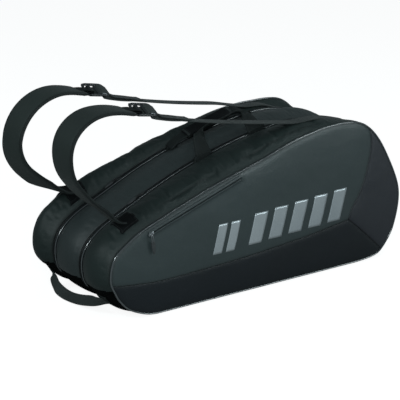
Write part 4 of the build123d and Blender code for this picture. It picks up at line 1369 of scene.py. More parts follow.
def puller_tab(prefix, origin, X, Y, Z, length=30.0, w=8.0, ring_mat=None):
    """Puller: a metal ring link, then a moulded grip with ridges."""
    O, X, Y, Z = (np.asarray(v, float) for v in (origin, X, Y, Z))
    link_out = rounded_rect(-2.0, -2.6, length * 0.40, 2.6, 2.2)
    link_in = rounded_rect(-0.6, -1.4, length * 0.40 - 1.6, 1.4, 1.2)
    link = outline_plate("p", link_out, [link_in], 1.1, ring_mat or M("metal"), O, X, Y, Z, 0.3)
    prof = []
    k = 44
    a0, a1 = length * 0.30, length
    rows = []
    for i in range(k + 1):
        s = i / k
        x = a0 + (a1 - a0) * s
        hw = (w / 2) * (0.62 + 0.38 * math.sin(math.pi * min(1, s * 1.25 + 0.08)) ** 0.6) * (1 - 0.35 * max(0, s - 0.8) / 0.2)
        ridge = 0.18 * (0.5 + 0.5 * math.cos(2 * math.pi * s * 9)) if 0.25 < s < 0.85 else 0.0
        th = 1.15 + 0.1 * math.sin(math.pi * s) + ridge
        if i in (0, k):
            hw *= 0.86
            th *= 0.6
        sec = [(math.cos(a), math.sin(a)) for a in np.linspace(0, 2 * math.pi, 16, endpoint=False)]
        rows.append([O + X * x + Y * (hw * np.sign(c) * abs(c) ** 0.55) + Z * (0.55 + th * 0.9 * np.sign(q) * abs(q) ** 0.7) for c, q in sec])
    grip = grid("p", np.asarray(rows), M("puller"), close_u=True, cap=True)
    return join(prefix, [link, grip])


SL = pock3(4.5, 0, ZIP_Y - 2.0)
psl = slider_body("pocket_slider_metal", SL, PD3, PN3, (0, -1, 0), 12.5, 7.4)
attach(psl, "pocket_zip_slider")
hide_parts("pocket_zip_slider")
ppl = puller_tab("pocket_puller_tab", SL + np.array([0.0, -3.2, -3.6]), (0.12, -0.035, -0.992), (0.992, 0, 0.12), (0, -1, 0.03), 37.0, 9.0)
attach(ppl, "pocket_zip_puller")
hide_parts("pocket_zip_puller")

# top zips' sliders, parked near the handle end
for which, ymid, x0, body, pbody in (("near", -41.05, -237.6, "near_zip_slider", "near_zip_puller"),
                                     ("far", 53.85, -227.6, "far_zip_slider", "far_zip_puller")):
    i = int(np.argmin(np.abs(MID[:, 0] - x0) + (MID[:, 1] < 100) * 1e3))
    n2 = MIDN[i]
    X = np.array([MID[i + 3, 0] - MID[i - 3, 0], 0, MID[i + 3, 1] - MID[i - 3, 1]])
    X /= np.linalg.norm(X)
    Z = np.array([n2[0], 0, n2[1]])
    O = np.array([MID[i, 0], ymid, MID[i, 1]]) + Z * 2.6
    s = slider_body(f"{which}_slider_metal", O, X, (0, 1, 0), Z, 13.0, 7.4, M("metal_dark"))
    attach(s, body)
    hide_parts(body)
    p = puller_tab(f"{which}_puller_tab", O - X * 6.0 + Z * 2.3, -X * 0.995 - Z * 0.08, (0, 1, 0), Z, 29.0, 7.6, M("metal_dark"))
    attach(p, pbody)
    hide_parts(pbody)

# ------------------------------------------------- print: plain slanted bars
bars = []
for left, width, low, high in ((-134, 22, 100, 162), (-102, 22, 100, 162), (-44, 34, 103, 168), (8, 34, 105, 171),
                               (60, 34, 107, 174), (112, 34, 109, 177), (164, 34, 111, 180)):
    lean = 0.22
    nx, nz = 8, 14
    P = np.zeros((nz, nx, 3))
    for i in range(nz):
        for j in range(nx):
            z = low + (high - low) * i / (nz - 1)
            x = left + width * j / (nx - 1) + lean * (z - low)
            P[i, j] = (x, 0, z)
    yv = panel_y(P.reshape(-1, 3)[:, [0, 2]])
    P[:, :, 1] = yv.reshape(nz, nx) - 0.42
    b = grid("bar", P, M("print"))
    b.data.update()
    if sum(p.normal.y for p in b.data.polygons) > 0:
        b.data.flip_normals()
    thick(b, 0.35, -1.0)
    bars.append(b)
pr = join("panel_print_bars", bars)
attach(pr, "near_shell")
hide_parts("near_panel_print")

# --------------------------------------------------------------- carry straps
PAD_LINE = {"near": [(-358.6, 218.3), (-384, 238.5), (-406.9, 259.5), (-425, 279.5), (-440.8, 302.3), (-449.8, 332.3),
                     (-449.4, 359.6), (-438.9, 385.1), (-419.1, 404.3), (-393.6, 415.5), (-363.3, 418.4), (-333.7, 415.2), (-297, 406.0)],
            "far": [(-369.6, 219.5), (-402.1, 240.2), (-427.3, 261.1), (-447.7, 285.1), (-458.1, 310.3), (-459.1, 337.8),
                    (-449.4, 366.4), (-430, 391.4), (-400.5, 410.0), (-367.6, 417.8), (-337.5, 415.8), (-299, 406.6)]}
FOOT_LINE = {"near": [(-300, 194.5), (-314, 192.0), (-330, 194.5), (-346, 205.0)],
             "far": [(-299, 206.5), (-312, 205.0), (-327, 205.0), (-347, 209.5)]}
WEB_LINE = [(-238, 389.5), (-213, 381), (-170, 371), (-127, 362), (-52, 348), (0, 339.5), (42, 333.0)]
B_START, B_DIR = np.array([-293.0, 405.6]), np.array([0.9615, -0.2747])
B_N = np.array([0.2747, 0.9615])


def strap(which, y_mid, side, swell, foot_y, patch_y):
    near = which == "near"
    line = smooth_line(FOOT_LINE[which] + PAD_LINE[which], step=3.0)
    s = chord(line)
    n = len(line)
    total = s[-1]
    foot_len = 62.0
    ys = np.where(s < 150, foot_y + (y_mid - foot_y) * (0.5 - 0.5 * np.cos(np.pi * np.clip(s / 150, 0, 1))), y_mid)
    path = np.stack([line[:, 0], ys, line[:, 1]], 1)
    w = np.full(n, 68.0)
    reach, least = (150.0, 26.0) if near else (60.0, 48.0)
    w = np.where(s < reach, least + (68 - least) * (0.5 - 0.5 * np.cos(np.pi * s / reach)), w)
    e = np.clip((total - s) / 26.0, 0, 1)
    w = w * (0.62 + 0.38 * np.sqrt(1 - (1 - e) ** 2))
    th = np.full(n, 7.6)
    th = np.where(s < 60, 2.4 + 5.2 * (0.5 - 0.5 * np.cos(np.pi * s / 60)), th)
    th = th * (0.55 + 0.45 * np.clip((total - s) / 12.0, 0, 1))
    t, wd, nn = strip_frames(path, (0, 1, 0))
    if nn[n // 4][0] > 0:
        nn = -nn
    if not near:
        phi = np.interp(s, [0, 50, 105, 145, 225], [0, 4, 17, 14, 0]) * math.pi / 180
        sg_y = np.where(wd[:, 1] > 0, 1.0, -1.0)
        wd, nn = (wd * np.cos(phi)[:, None] + nn * (np.sin(phi) * sg_y)[:, None],
                  nn * np.cos(phi)[:, None] - wd * (np.sin(phi) * sg_y)[:, None])
    # outer face is on the -X side low down, on top above
    k = 27
    xs = np.linspace(-1, 1, k)

    def sec(i):
        W, H = w[i] / 2, th[i] / 2
        pts = []
        for q in xs:
            edge = abs(q)
            h = H * (0.30 + 0.70 * (1 - edge ** 6) ** 0.5) * (1 - 0.22 * math.exp(-((edge - 0.86) / 0.045) ** 2))
            h += 0.35 * wob(path[i][0], q * W, path[i][2], 42, 2.0) * (1 - edge ** 4)
            pts.append((q * W, h))
        for q in xs[::-1]:
            edge = abs(q)
            h = H * (0.30 + 0.62 * (1 - edge ** 6) ** 0.5) * (1 - 0.22 * math.exp(-((edge - 0.86) / 0.045) ** 2))
            h += 0.35 * wob(path[i][0] + 50, q * W, path[i][2], 36, 4.0) * (1 - edge ** 4)
            pts.append((q * W, -h))
        return pts

    nu = 2 * k
    fm = []
    for i in range(n - 1):
        for j in range(nu):
            q = xs[j] if j < k else xs[::-1][j - k]
            top = j < k
            if j in (k - 1, nu - 1) or abs(q) > 0.9:
                fm.append(2)
            else:
                fm.append(0 if top else 1)
    body = sweep(f"{which}_strap_pad_cloth", path, wd, nn, sec, [M("pad"), M("pad_mesh"), M("binding")], face_mat=fm)
    bm_obs = [body]
    for q in (-0.84, 0.84):
        off = wd * (w / 2 * q)[:, None]
        for sgn in (1, -1):
            ln = path + off + nn * (sgn * th * 0.5 * 0.86)[:, None]
            bm_obs.append(stitches("st", ln[3:-3], sgn * nn[3:-3], 3.6, 2.6, 0.33, M("thread"), 0.05))
    # binding: a folded tape round both edges
    for q in (-1, 1):
        eln = path + wd * (w / 2 * q * 0.985)[:, None]
        rows = []
        ang = np.linspace(0, 2 * math.pi, 12, endpoint=False)
        for i in range(n):
            rows.append([eln[i] + wd[i] * (1.15 * math.cos(a)) + nn[i] * (max(0.8, th[i] * 0.24) * math.sin(a)) for a in ang])
        bm_obs.append(grid("bind", np.asarray(rows), M("binding"), close_u=True, cap=True))
    pad = join(f"{which}_strap_pad_cloth", bm_obs)
    return pad, path, wd, nn, w, th


STRAPS = {}
for which, y_mid, foot_y, patch_y in (("near", -85.0, -95.0, -97.0), ("far", 79.0, 90.0, 92.0)):
    side, swell = (SIDE, NEAR_SWELL) if which == "near" else (FAR_SIDE, FAR_SWELL)
    pad, path, wd, nn, w, th = strap(which, y_mid, side, swell, foot_y, patch_y)
    STRAPS[which] = (path, wd, nn, w, th)
    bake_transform(pad)
    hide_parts(f"{which}_strap_pad")

    # the patch that the strap is sewn down with, following the lobe; its near-black wrap finish is painted shade,
    # standing in for the shadow beside the strap's lower end
    P = np.zeros((16, 15, 3))
    surf, nrm = (NLP, NLN) if which == "near" else (FLP, FLN)
    us = NLU if which == "near" else FLU
    sgn = 1 if which == "near" else -1
    yc = patch_y
    sel = np.arange(NT)
    for a in range(16):
        for b in range(15):
            yy = yc + (b - 7) / 7.0 * (20.0 if which == "near" else 26.0)
            j = (np.abs(surf[0, :, 1] - yy)).argsort()[:2]
            y0_, y1_ = surf[0, j[0], 1], surf[0, j[1], 1]
            f = (yy - y0_) / (y1_ - y0_ + 1e-9)
            col = surf[:, j[0]] * (1 - f) + surf[:, j[1]] * f
            ncol = nrm[:, j[0]] * (1 - f) + nrm[:, j[1]] * f
            xx = (-335 if which == "near" else -333) + 38.0 * a / 15
            ok = col[:, 2] > 120
            ii = np.nonzero(ok)[0]
            g = ii[np.abs(col[ii, 0] - xx).argmin()]
            P[a, b] = col[g] + ncol[g] * 2.1
    P = (P + np.roll(P, 1, 0) * 0 + P) / 2
    # painted shade: near-black finish for the shadow beside the strap's end
    patch = grid(f"{which}_lower_patch_cloth", P, M("wrap"))
    if sum(p.normal.z for p in patch.data.polygons) < 0:
        patch.data.flip_normals()
    thick(patch, 1.6, -1.0)
    parts = [patch]
    for b0 in (1, 13):
        ln = P[:, b0] + (0, 0, 0.3)
        parts.append(stitches("st", ln, (-0.3, 0, 0.95), 3.2, 2.2, 0.3, M("thread"), 0.1))
    for a0 in (1, 14):
        ln = P[a0, :] + (0, 0, 0.3)
        parts.append(stitches("st", ln, (-0.3, 0, 0.95), 3.2, 2.2, 0.3, M("thread"), 0.1))
    patch = join(f"{which}_lower_patch_cloth", parts)
    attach(patch, f"{which}_shell")
    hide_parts(f"{which}_strap_lower_patch")

    # webbing from the buckle to the head end, then sewn along the lobe
    web = smooth_line(WEB_LINE, step=4.0)
    surf_, us_ = (NLP, NLU) if which == "near" else (FLP, FLU)
    jj = int(np.abs(surf_[0, :, 1] - y_mid).argmin())
    top_ = surf_[:, jj][surf_[:, jj, 2] > 200]
    oo_ = np.argsort(top_[:, 0])
    crest = np.array([(x, float(np.interp(x, top_[oo_, 0], top_[oo_, 2]))) for x in (112, 150, 190, 225, 247)])
    join_pts = [(-254.0, 394.6), (-247.0, 392.6)] + [tuple(p) for p in web[::6]] + [(72, 0.5 * (330 + crest[0][1] + 3.4) + 1.0)] + [(x, z + 3.4) for x, z in crest]
    join_pts = [p for i, p in enumerate(join_pts) if i == 0 or p[0] - join_pts[i - 1][0] > 12]
    full = smooth_line(join_pts, step=4.0)
    P3 = np.stack([full[:, 0], np.full(len(full), y_mid), full[:, 1]], 1)
    P3[:, 1] += np.array([0.6 * wob(x, 0, z, 90, 6) for x, z in full])
    wid = np.full(len(full), 28.0)
    # the first length turns with the buckle, the rest with the strap
    cut = int(np.abs(P3[:, 0] + 60).argmin())
    wdir = np.zeros((len(P3), 3))
    turn_w = np.clip((-185 - P3[:, 0]) / 60.0, 0, 1)
    wdir[:, 1] = np.cos(math.radians(24.0) * turn_w)
    wdir[:, 2] = np.sin(math.radians(24.0) * turn_w)
    lead = flat_band(f"{which}_strap_lead_web", P3[:cut + 1], wdir[:cut + 1], wid[:cut + 1], 1.9, M("webbing"))
    lead_b = tuple(P3[int(np.abs(P3[:, 0] + 110).argmin())] * 0.001)
    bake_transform(lead)
    wb = flat_band(f"{which}_strap_web", P3[cut:], (0, 1, 0), wid[cut:], 1.9, M("webbing"))
    tt, ww, n3 = strip_frames(P3, (0, 1, 0))
    if n3[5][2] < 0:
        n3 = -n3
    m = P3[:, 0] > 104
    sew = [wb]
    for q in (-12.0, 12.0):
        sew.append(stitches("st", P3[m] + ww[m] * q + n3[m] * 0.8, n3[m], 3.0, 2.2, 0.3, M("thread"), 0.1))
    # box and cross where the webbing is tacked down
    c = np.nonzero((P3[:, 0] > 106) & (P3[:, 0] < 140))[0]
    if len(c) > 3:
        a0, a1 = c[0], c[-1]
        for q0, q1 in ((-11, 11), (11, -11)):
            f = np.linspace(0, 1, 12)
            ln = np.stack([P3[int(round(a0 + (a1 - a0) * k))] + ww[int(round(a0 + (a1 - a0) * k))] * (q0 + (q1 - q0) * k)
                           + n3[a0] * 0.85 for k in f])
            sew.append(stitches("st", ln, n3[a0], 2.8, 2.0, 0.3, M("thread"), 0.1))
    wb = join(f"{which}_strap_web", sew)
    i0 = int(np.abs(P3[:, 0] - 30).argmin())
    i1 = int(np.abs(P3[:, 0] - 112).argmin())
    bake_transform(wb)
    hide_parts(f"{which}_strap_webbing", f"{which}_strap_sewn_webbing")

    # doubled tail above it
    isel = np.nonzero((P3[:, 0] > -236) & (P3[:, 0] < -160))[0]
    lift = 2.0 + 1.6 * np.sin(np.linspace(0, math.pi, len(isel))) ** 2 + 1.2 * np.linspace(0, 1, len(isel)) ** 3
    T3 = resample(P3[isel] + n3[isel] * lift[:, None], 3.0)
    tl = T3
    tw = np.full(len(tl), 27.6)
    tb = flat_band(f"{which}_strap_tail_web", T3, (0, 1, 0), tw, 1.9, M("webbing"))
    _, tw3, tn3 = strip_frames(T3, (0, 1, 0))
    if tn3[2][2] < 0:
        tn3 = -tn3
    hem = [tb]
    for d in (-4, -2):
        lnp = np.stack([T3[d] + tw3[d] * q + tn3[d] * 0.9 for q in np.linspace(-11, 11, 8)])
        hem.append(stitches("st", lnp, tn3[d], 2.8, 2.0, 0.3, M("thread"), 0.1))
    tb = join(f"{which}_strap_tail_web", hem)
    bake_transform(tb)
    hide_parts(f"{which}_strap_tail")

    # ladder-lock buckle
    O = np.array([B_START[0] - 2.0, y_mid, B_START[1] + 4.0])
    pitch, roll = math.radians(7.0), math.radians(24.0)
    X = np.array([B_DIR[0], 0, B_DIR[1]])
    Z = np.array([B_N[0], 0, B_N[1]])
    X, Z = X * math.cos(pitch) + Z * math.sin(pitch), -X * math.sin(pitch) + Z * math.cos(pitch)
    Y = np.array([0, 1.0, 0])
    Y, Z = Y * math.cos(roll) + Z * math.sin(roll), Z * math.cos(roll) - Y * math.sin(roll)
    outer = rounded_rect(0, -19.5, 52, 19.5, 6.5, 7)
    h1 = rounded_rect(5.5, -14.6, 13.5, 14.6, 2.0, 4)
    h2 = rounded_rect(19.5, -14.6, 27.0, 14.6, 2.0, 4)
    h3 = rounded_rect(33.0, -14.6, 42.0, 14.6, 2.0, 4)
    plate = outline_plate("p", outer, [h1, h2, h3], 2.6, M("buckle"), O - Z * 1.0, X, Y, Z, 0.6)
    bits = [plate]
    for bx, rr in ((16.5, 1.8), (30.0, 2.1), (45.4, 2.3)):
        rows = []
        for yy in np.linspace(-15.5, 15.5, 26):
            ang = np.linspace(0, 2 * math.pi, 14, endpoint=False)
            rows.append([O + X * (bx + rr * math.cos(a)) + Z * (0.7 + rr * math.sin(a)) + Y * yy for a in ang])
        bits.append(grid("bar", np.asarray(rows), M("buckle_light") if bx > 40 else M("buckle"), close_u=True, cap=True))
    for sgn in (-1, 1):
        prof = [(1.5, 0.2), (1.5, 1.6), (9, 3.6), (30, 3.4), (44, 2.8), (48.0, 1.6), (48.0, 0.2)]
        bits.append(block("rail", prof, 1.7, M("buckle"), O + Y * (17.2 * sgn), X, Z, Y, 0.6, 3))
    # the light part that the webbing turns over, with grip ridges
    prof = [(36.5, 1.4), (38.0, 3.0), (47.0, 2.0), (52.0, -0.6), (50.5, -1.6), (42, 0.2)]
    bits.append(block("lip", prof, 14.4, M("buckle_light"), O, X, Z, Y, 0.7, 3))
    for k in range(9):
        yy = -11.2 + 2.8 * k
        bits.append(block("rib", [(39.5, 2.4), (41.0, 3.5), (47.5, 2.3), (48.5, 1.6)], 0.55, M("buckle_light"), O + Y * yy, X, Z, Y, 0.25, 2))
    # strap end tab that comes out of the pad and round the first bar
    lp = []
    for i in range(26):
        a = i / 25.0
        lp.append(O + X * (-18 + 29.5 * a) + Z * (1.9 + 1.1 * math.sin(math.pi * min(1, a * 1.1))))
    lp2 = [O + X * (11.5 - 29.5 * a) + Z * (-2.0 - 0.4 * math.sin(math.pi * a)) for a in np.linspace(0, 1, 26)]
    turn = [O + X * (11.5 + 2.2 * math.sin(b)) + Z * (0.0 + 2.0 * math.cos(b)) for b in np.linspace(0.15, math.pi - 0.15, 10)]
    loop = np.asarray(lp + turn + lp2)
    thr = []
    for a, h in ((14.5, -2.2), (20, -2.4), (27, -2.4), (31, -0.6), (34.5, 3.2), (40, 4.6), (47, 3.4), (53, 0.6), (57, -1.4)):
        thr.append(O + X * a + Z * h)
    thr = smooth_line(thr, step=1.5)
    thread_web = flat_band("thr", thr, Y, 26.5, 1.3, M("webbing"))
    under = smooth_line([O + X * a + Z * h for a, h in ((3.5, -2.6), (14, -3.8), (34, -3.8), (52, -3.2))], step=2.0)
    under_web = flat_band("thr", under, Y, 27.0, 1.2, M("webbing_dark"))
    bits += [thread_web, under_web]
    bk = join(f"{which}_buckle_plastic", bits)
    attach(bk, f"{which}_buckle")
    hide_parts(f"{which}_strap_buckle")
    tab = flat_band(f"{which}_strap_buckle_loop", loop, (0, 1, 0), 27.5, 1.3, M("webbing_dark"))
    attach(tab, f"{which}_strap")

# -------------------------------------------------------------------- handles
def bail_path(foot_a, foot_b, lean_deg, to_y, up_profile, corner=9.0, n=None):
    """Points of a handle from foot to foot; up_profile is (along 0-1, height)."""
    A, B = np.asarray(foot_a, float), np.asarray(foot_b, float)
    axis = (B - A)
    L = np.linalg.norm(axis)
    axis /= L
    side = np.array([0, to_y, 0.0])
    upv = np.cross(axis, side) * (-1 if np.cross(axis, side)[2] < 0 else 1)
    upv /= np.linalg.norm(upv)
    lean = math.radians(lean_deg)
    d = upv * math.cos(lean) + side * math.sin(lean)
    pts = [A + axis * (a * L) + d * h for a, h in up_profile]
    return np.asarray(pts), axis, d


def rounded_corner_path(pts, step=2.5):
    """Smooth path that hugs a polyline's corners."""
    p = np.asarray(pts, float)
    out = [p[0]]
    for i in range(1, len(p) - 1):
        a, b, c = p[i - 1], p[i], p[i + 1]
        r = min(11.0, np.linalg.norm(b - a) * 0.45, np.linalg.norm(c - b) * 0.45)
        s = b + (a - b) / np.linalg.norm(a - b) * r
        e = b + (c - b) / np.linalg.norm(c - b) * r
        for k in np.linspace(0, 1, 7):
            out.append((1 - k) ** 2 * s + 2 * k * (1 - k) * b + k ** 2 * e)
    out.append(p[-1])
    return smooth_line(out, step=step) if False else resample(out, step)


# near handle: a bail of webbing with a foot sewn at each end
fa, fb = (-90, -52.5, 278.79), (32, -52.5, 308.53)
prof = [(-0.03, 1.0), (0.0, 20), (0.075, 42), (0.17, 50), (0.32, 51), (0.5, 50), (0.70, 51), (0.86, 50), (0.955, 42), (1.02, 20), (1.04, 1.0)]
pts, axis, dvec = bail_path(fa, fb, 35, 1, prof)
path = resample(smooth_line(pts, step=1.5), 2.5)
s = chord(path)
foot = np.minimum(s, s[-1] - s)
k = np.clip((foot - 34.0) / 22.0, 0, 1)
k = k * k * (3 - 2 * k)
wdir = axis[None] * (1 - k)[:, None] * np.where(s < s[-1] / 2, 1, -1)[:, None] + np.cross(axis, dvec)[None] * k[:, None]
wdir = np.where((s < s[-1] / 2)[:, None], wdir, wdir)
_, bw, bn = strip_frames(path, wdir)
wid = np.where(foot < 44, 40.0 - 18.0 * (foot / 44.0) ** 0.8, 22.0)
hn = flat_band("near_handle_web", path, wdir, wid, 2.4, M("webbing_dark"))
hp = [hn]
for q in (-9.5, 9.5):
    for sg in (1, -1):
        hp.append(stitches("st", (path + bw * (q * wid / 24.0)[:, None] + bn * (sg * 1.05)), sg * bn, 3.2, 2.3, 0.3, M("thread"), 0.1))
hn = join("near_handle_web", hp)
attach(hn, "near_handle")
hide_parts("near_handle_webbing")

# feet of the near handle: tapered tabs lying down the lobe
def foot_tab(name, centre, along, down, width_top, width_bot, length, mat, t=2.0):
    """Trapezoid tab from centre going down."""
    C, A, D = (np.asarray(v, float) for v in (centre, along, down))
    rows = []
    for i in range(14):
        f = i / 13
        hw = (width_top + (width_bot - width_top) * f) / 2
        rows.append([C + D * (length * f) + A * (hw * q) for q in np.linspace(-1, 1, 13)])
    P = np.asarray(rows)
    ob = grid(name, P, mat)
    thick(ob, t, 0.0)
    parts = [ob]
    nrm = np.cross(A, D)
    nrm /= np.linalg.norm(nrm)
    if nrm[1] > 0:
        nrm = -nrm
    ring = [P[1, 1], P[1, 11], P[12, 11], P[12, 1], P[1, 1]]
    ln = resample(ring, 1.5)
    parts.append(stitches("st", ln + nrm * (t * 0.5 - 0.1), nrm, 3.0, 2.1, 0.3, M("thread"), 0.1))
    parts.append(stitches("st", ln - nrm * (t * 0.5 - 0.1), -nrm, 3.0, 2.1, 0.3, M("thread"), 0.1))
    return join(name, parts)


A3 = np.asarray(axis)
tabs = []
for k, (fx, w0, w1) in enumerate(((-0.065, 38, 44), (1.065, 38, 44))):
    base_pt = np.asarray(fa, float) + (np.asarray(fb, float) - np.asarray(fa, float)) * fx
    tabs.append(foot_tab(f"t{k}", base_pt + np.array([0, 1.6, 4.0]), A3, np.array([0.0, -0.12, -0.99]), w0, w1, 17.0, M("webbing_dark"), 2.2))
nf = join("near_handle_feet_web", tabs)
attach(nf, "near_shell")
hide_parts("near_handle_feet")

# far handle with its wrap
fa2, fb2 = (-92, 41, 274.58), (82, 41, 312.95)
Lh = float(np.linalg.norm(np.asarray(fb2, float) - np.asarray(fa2, float)))
prof2 = [(-0.12, 1.0), (-0.06, 8), (0.03, 14.0), (0.14, 16.5), (0.40, 19.5), (0.60, 22.5), (0.775, 26.0), (0.845, 24.5), (0.93, 15), (1.04, 1.0)]
pts2, axis2, dvec2 = bail_path(fa2, fb2, 12, -1, prof2)
path2 = resample(smooth_line(pts2, step=1.5), 2.5)
wdir2 = np.cross(axis2, dvec2)
_, bw2, bn2 = strip_frames(path2, wdir2)
hf = flat_band("far_handle_web", path2, wdir2, 22.0, 2.2, M("webbing_dark"))
hp = [hf]
for q in (-8.8, 8.8):
    for sg in (1, -1):
        hp.append(stitches("st", (path2 + bw2 * q + bn2 * (sg * 1.0)), sg * bn2, 3.2, 2.3, 0.3, M("thread"), 0.1))
hf = join("far_handle_web", hp)
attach(hf, "far_handle")
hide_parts("far_handle_webbing")
A3 = np.asarray(axis2)
tabs = []
for k, fx in enumerate((-0.075, 1.02)):
    base_pt = np.asarray(fa2, float) + (np.asarray(fb2, float) - np.asarray(fa2, float)) * fx
    tabs.append(foot_tab(f"f{k}", base_pt + np.array([0, 0.6, 3.0]), A3, np.array([0.0, 0.05, -0.99]), 22, 34, 9.0, M("webbing_dark"), 2.2))
ff = join("far_handle_feet_web", tabs)
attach(ff, "main_body")
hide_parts("far_handle_feet")

# wrap: padded sleeve round the raised bar
i0 = int(np.abs((path2 - np.asarray(fa2)) @ axis2 - 0.115 * Lh).argmin())
i1 = int(np.abs((path2 - np.asarray(fa2)) @ axis2 - 0.765 * Lh).argmin())
core = path2[i0:i1 + 1]
core = resample(core, 2.5)
tw_, ww_, wn_ = strip_frames(core, wdir2)
m = len(core)


def wsec(i):
    f = i / (m - 1)
    k = 1 - 0.10 * (2 * f - 1) ** 2
    endr = min(1.0, min(i, m - 1 - i) / 2.0)
    hw, hh = 14.0 * k * (0.93 + 0.07 * endr), 7.4 * k * (0.86 + 0.14 * endr)
    out = []
    for a in np.linspace(0, 2 * math.pi, 40, endpoint=False):
        c, q = math.cos(a), math.sin(a)
        r = 1 + 0.02 * wob(core[i][0], a * 9, 0, 18, 7)
        out.append((hw * np.sign(c) * abs(c) ** 0.62 * r, hh * np.sign(q) * abs(q) ** 0.62 * r))
    return out


fm = []
for i in range(m - 1):
    for j in range(40):
        fm.append(1 if (i < 2 or i >= m - 3) else 0)
wr = sweep("handle_wrap_cloth", core, ww_, wn_, wsec, [M("wrap"), M("binding")], face_mat=fm)
wp = [wr]
for q in (3, m - 4):
    ring = np.stack([core[q] + ww_[q] * a + wn_[q] * b for a, b in wsec(q)] + [core[q] + ww_[q] * wsec(q)[0][0] + wn_[q] * wsec(q)[0][1]])
    outd = ring - core[q]
    outd /= np.linalg.norm(outd, axis=1)[:, None]
    wp.append(stitches("st", ring + outd * 0.05, outd, 3.0, 2.1, 0.3, M("thread"), 0.1))
# flap edge of the hook-and-loop closure running along the top
flap = []
for i in range(1, m - 1):
    flap.append([core[i] + ww_[i] * (q * 1.0) + wn_[i] * (7.4 * (1 - 0.10 * (2 * i / (m - 1) - 1) ** 2) + 0.5) for q in np.linspace(-9, 7, 9)])
fl = grid("flap", np.asarray(flap), M("wrap"))
if np.dot(np.asarray(fl.data.polygons[0].normal), wn_[2]) < 0:
    fl.data.flip_normals()
thick(fl, 1.2, 0.0)
wp.append(fl)
for q in (-7.4, 5.4):
    ln = np.stack([core[i] + ww_[i] * q + wn_[i] * (7.4 * (1 - 0.10 * (2 * i / (m - 1) - 1) ** 2) + 1.05) for i in range(1, m - 1)])
    wp.append(stitches("st", ln, wn_[1:m - 1], 3.2, 2.3, 0.3, M("thread"), 0.1))
wr = join("handle_wrap_cloth", wp)
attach(wr, "far_handle")
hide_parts("handle_wrap")

# ------------------------------------------------------------------ grab loop
LOOP = [(-352, 104, 40.0), (-355, 99, 34.0), (-358, 91, 24.0), (-360, 79, 13.5), (-366, 58, 10.8), (-370, 30, 10.8),
        (-370, 0, 12.5), (-368, -30, 17.5), (-364, -58, 24.5), (-359, -82, 31.0), (-351, -97, 35.0)]
lp = smooth_line(LOOP, step=3.0)
k = len(lp)
nrm_l = np.zeros((k, 3))
wl = np.zeros((k, 3))
for i in range(k):
    f = i / (k - 1)
    flat = np.clip((f - 0.76) / 0.22, 0, 1) + np.clip((0.10 - f) / 0.10, 0, 1)
    tilt = math.radians(8 + 30 * math.exp(-((f - 0.30) / 0.14) ** 2) - 56 * flat * flat * (3 - 2 * flat))
    wl[i] = (math.sin(tilt), 0, math.cos(tilt))
wdl = [22.0] * k
gl = flat_band("grab_loop_web", lp, wl, wdl, 2.2, M("webbing"))
_, lw, ln_ = strip_frames(lp, wl)
gp = [gl]
for q in (-8.6, 8.6):
    for sg in (1, -1):
        gp.append(stitches("st", lp + lw * q + ln_ * (sg * 1.0), sg * ln_, 3.2, 2.3, 0.3, M("thread"), 0.1))
gl = join("grab_loop_web", gp)
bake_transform(gl)
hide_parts("grab_loop")
tb = nodes["grab_loop_tabs"]
P = []
tabs = []
for yc, out_dir in ((-93.0, -1), (102.0, 1)):
    rows = []
    cols = BASE_P[0, :, 1]
    oc = np.argsort(cols)
    for i in range(0, 27):
        row = []
        for q in np.linspace(-1, 1, 13):
            yy = yc + q * 12.5
            pt = np.array([np.interp(yy, cols[oc], BASE_P[i, oc, c]) for c in range(3)])
            nx = np.array([np.interp(yy, cols[oc], BASE_P[min(i + 1, 27), oc, c]) for c in range(3)])
            pv = np.array([np.interp(yy, cols[oc], BASE_P[max(i - 1, 0), oc, c]) for c in range(3)])
            tg = nx - pv
            nn_ = np.array([-abs(tg[2]), 0, -abs(tg[0])])
            nn_ /= np.linalg.norm(nn_)
            row.append(tuple(pt + nn_ * 0.9))
        rows.append(row)
    ob = grid("tab", np.asarray(rows), M("webbing_dark"))
    if sum(p.normal.z for p in ob.data.polygons) > 0:
        ob.data.flip_normals()
    thick(ob, 1.8, 1.0)
    R = np.asarray(rows)
    tabs.append(ob)
    for j in (1, 11):
        tabs.append(stitches("st", R[:, j] + np.array([-1.25, 0, -1.3]), (-0.7, 0, -0.72), 3.0, 2.1, 0.3, M("thread"), 0.1))
gt = join("grab_loop_tabs_web", tabs)
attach(gt, "main_body")
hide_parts("grab_loop_tabs")


# --------------------------------------------------- stitch rows on the seams
def ride_stitches(name, obs, body):
    ob = join(name, obs) if len(obs) > 1 else obs[0]
    ob.name = name
    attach(ob, body)


for which, sign in (("near", -1), ("far", 1)):
    rows = []
    for ln in (LOW, ENDL, TAIL):
        for o in (-2.4,):
            p2 = shifted(ln, o)
            out = OUT_NEAR if which == "near" else OUT_FAR
            ok = inside(p2, out) & (dist_to(p2, out, True) > 3)
            p2 = resample(np.stack([p2[ok, 0], np.zeros(ok.sum()), p2[ok, 1]], 1), 2.0)[:, [0, 2]]
            yv = panel_y(p2, which == "near")
            rows.append(stitches("st", np.stack([p2[:, 0], yv + sign * 0.05, p2[:, 1]], 1), (0, sign, 0), 3.0, 2.2, 0.24, M("thread"), 0.05))
    ride_stitches(f"{which}_panel_seam_stitches", rows, f"{which}_shell")

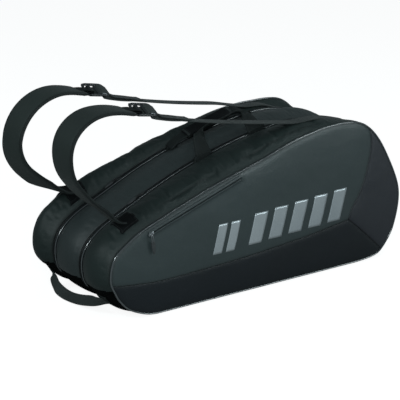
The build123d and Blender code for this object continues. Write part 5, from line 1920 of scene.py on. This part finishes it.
# ------------------------------------------------------------ floor and light
fv = [(-6000, -6000, 0), (6000, -6000, 0), (6000, 6000, 0), (-6000, 6000, 0)]
low_z = min(v[2] for v in CAD_BOX) * 1000.0
lows = [min((ob.matrix_world @ Vector(c)).z for c in ob.bound_box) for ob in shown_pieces()]
low = min(lows) * 1000.0
WORLD_LIGHT = 0.17
fm_ = bpy.data.materials.new("floor_plain")
fm_.use_nodes = True
ft = fm_.node_tree
fb_ = ft.nodes["Principled BSDF"]
fb_.inputs["Base Color"].default_value = (0.30, 0.30, 0.30, 1)
fb_.inputs["Roughness"].default_value = 0.9
fb_.inputs["Specular IOR Level"].default_value = 0.0
fe_ = ft.nodes.new("ShaderNodeEmission")
fe_.inputs[1].default_value = 0.88
fa_ = ft.nodes.new("ShaderNodeAddShader")
flp = ft.nodes.new("ShaderNodeLightPath")
fx_ = ft.nodes.new("ShaderNodeMixShader")
ft.links.new(fb_.outputs[0], fa_.inputs[0])
ft.links.new(fe_.outputs[0], fa_.inputs[1])
ft.links.new(flp.outputs["Is Camera Ray"], fx_.inputs[0])
ft.links.new(fb_.outputs[0], fx_.inputs[1])
ft.links.new(fa_.outputs[0], fx_.inputs[2])
ft.links.new(fx_.outputs[0], ft.nodes["Material Output"].inputs[0])
floor = make("floor", [(x, y, low - 0.2) for x, y, _ in fv], [(0, 1, 2, 3)], fm_, smooth=False)

world = bpy.data.worlds.new("world")
scene.world = world
world.use_nodes = True
wt = world.node_tree
bg = wt.nodes["Background"]
bg.inputs[0].default_value = (0.80, 0.96, 1.0, 1)
bg.inputs[1].default_value = WORLD_LIGHT
bgw = wt.nodes.new("ShaderNodeBackground")
bgw.inputs[0].default_value = (1.0, 1.0, 1.0, 1)
bgw.inputs[1].default_value = 1.0
wlp = wt.nodes.new("ShaderNodeLightPath")
wmx = wt.nodes.new("ShaderNodeMixShader")
wt.links.new(wlp.outputs["Is Camera Ray"], wmx.inputs[0])
wt.links.new(bg.outputs[0], wmx.inputs[1])
wt.links.new(bgw.outputs[0], wmx.inputs[2])
wt.links.new(wmx.outputs[0], wt.nodes["World Output"].inputs[0])
scene.view_settings.view_transform = "Standard"
scene.view_settings.look = "None"


def area_light(name, loc, target, size, power, size_y=None):
    li = bpy.data.lights.new(name, "AREA")
    li.shape = "RECTANGLE" if size_y else "SQUARE"
    li.size = size
    if size_y:
        li.size_y = size_y
    li.energy = power
    li.color = (0.86, 0.98, 1.0)
    o = bpy.data.objects.new(name, li)
    scene.collection.objects.link(o)
    o.location = loc
    d = Vector(target) - Vector(loc)
    o.rotation_euler = d.to_track_quat("-Z", "Y").to_euler()
    return o


area_light("key", (-1.9, -2.6, 1.35), (0.0, 0, 0.15), 1.3, 50, 0.8)
area_light("strip", (0.55, -0.75, 2.3), (0.05, -0.05, 0.25), 2.4, 9, 0.10)
area_light("side", (2.0, -2.6, 1.1), (0.25, -0.1, 0.2), 1.1, 30)
area_light("end", (-2.5, 0.1, 1.9), (-0.35, 0, 0.2), 0.6, 22, 0.7)
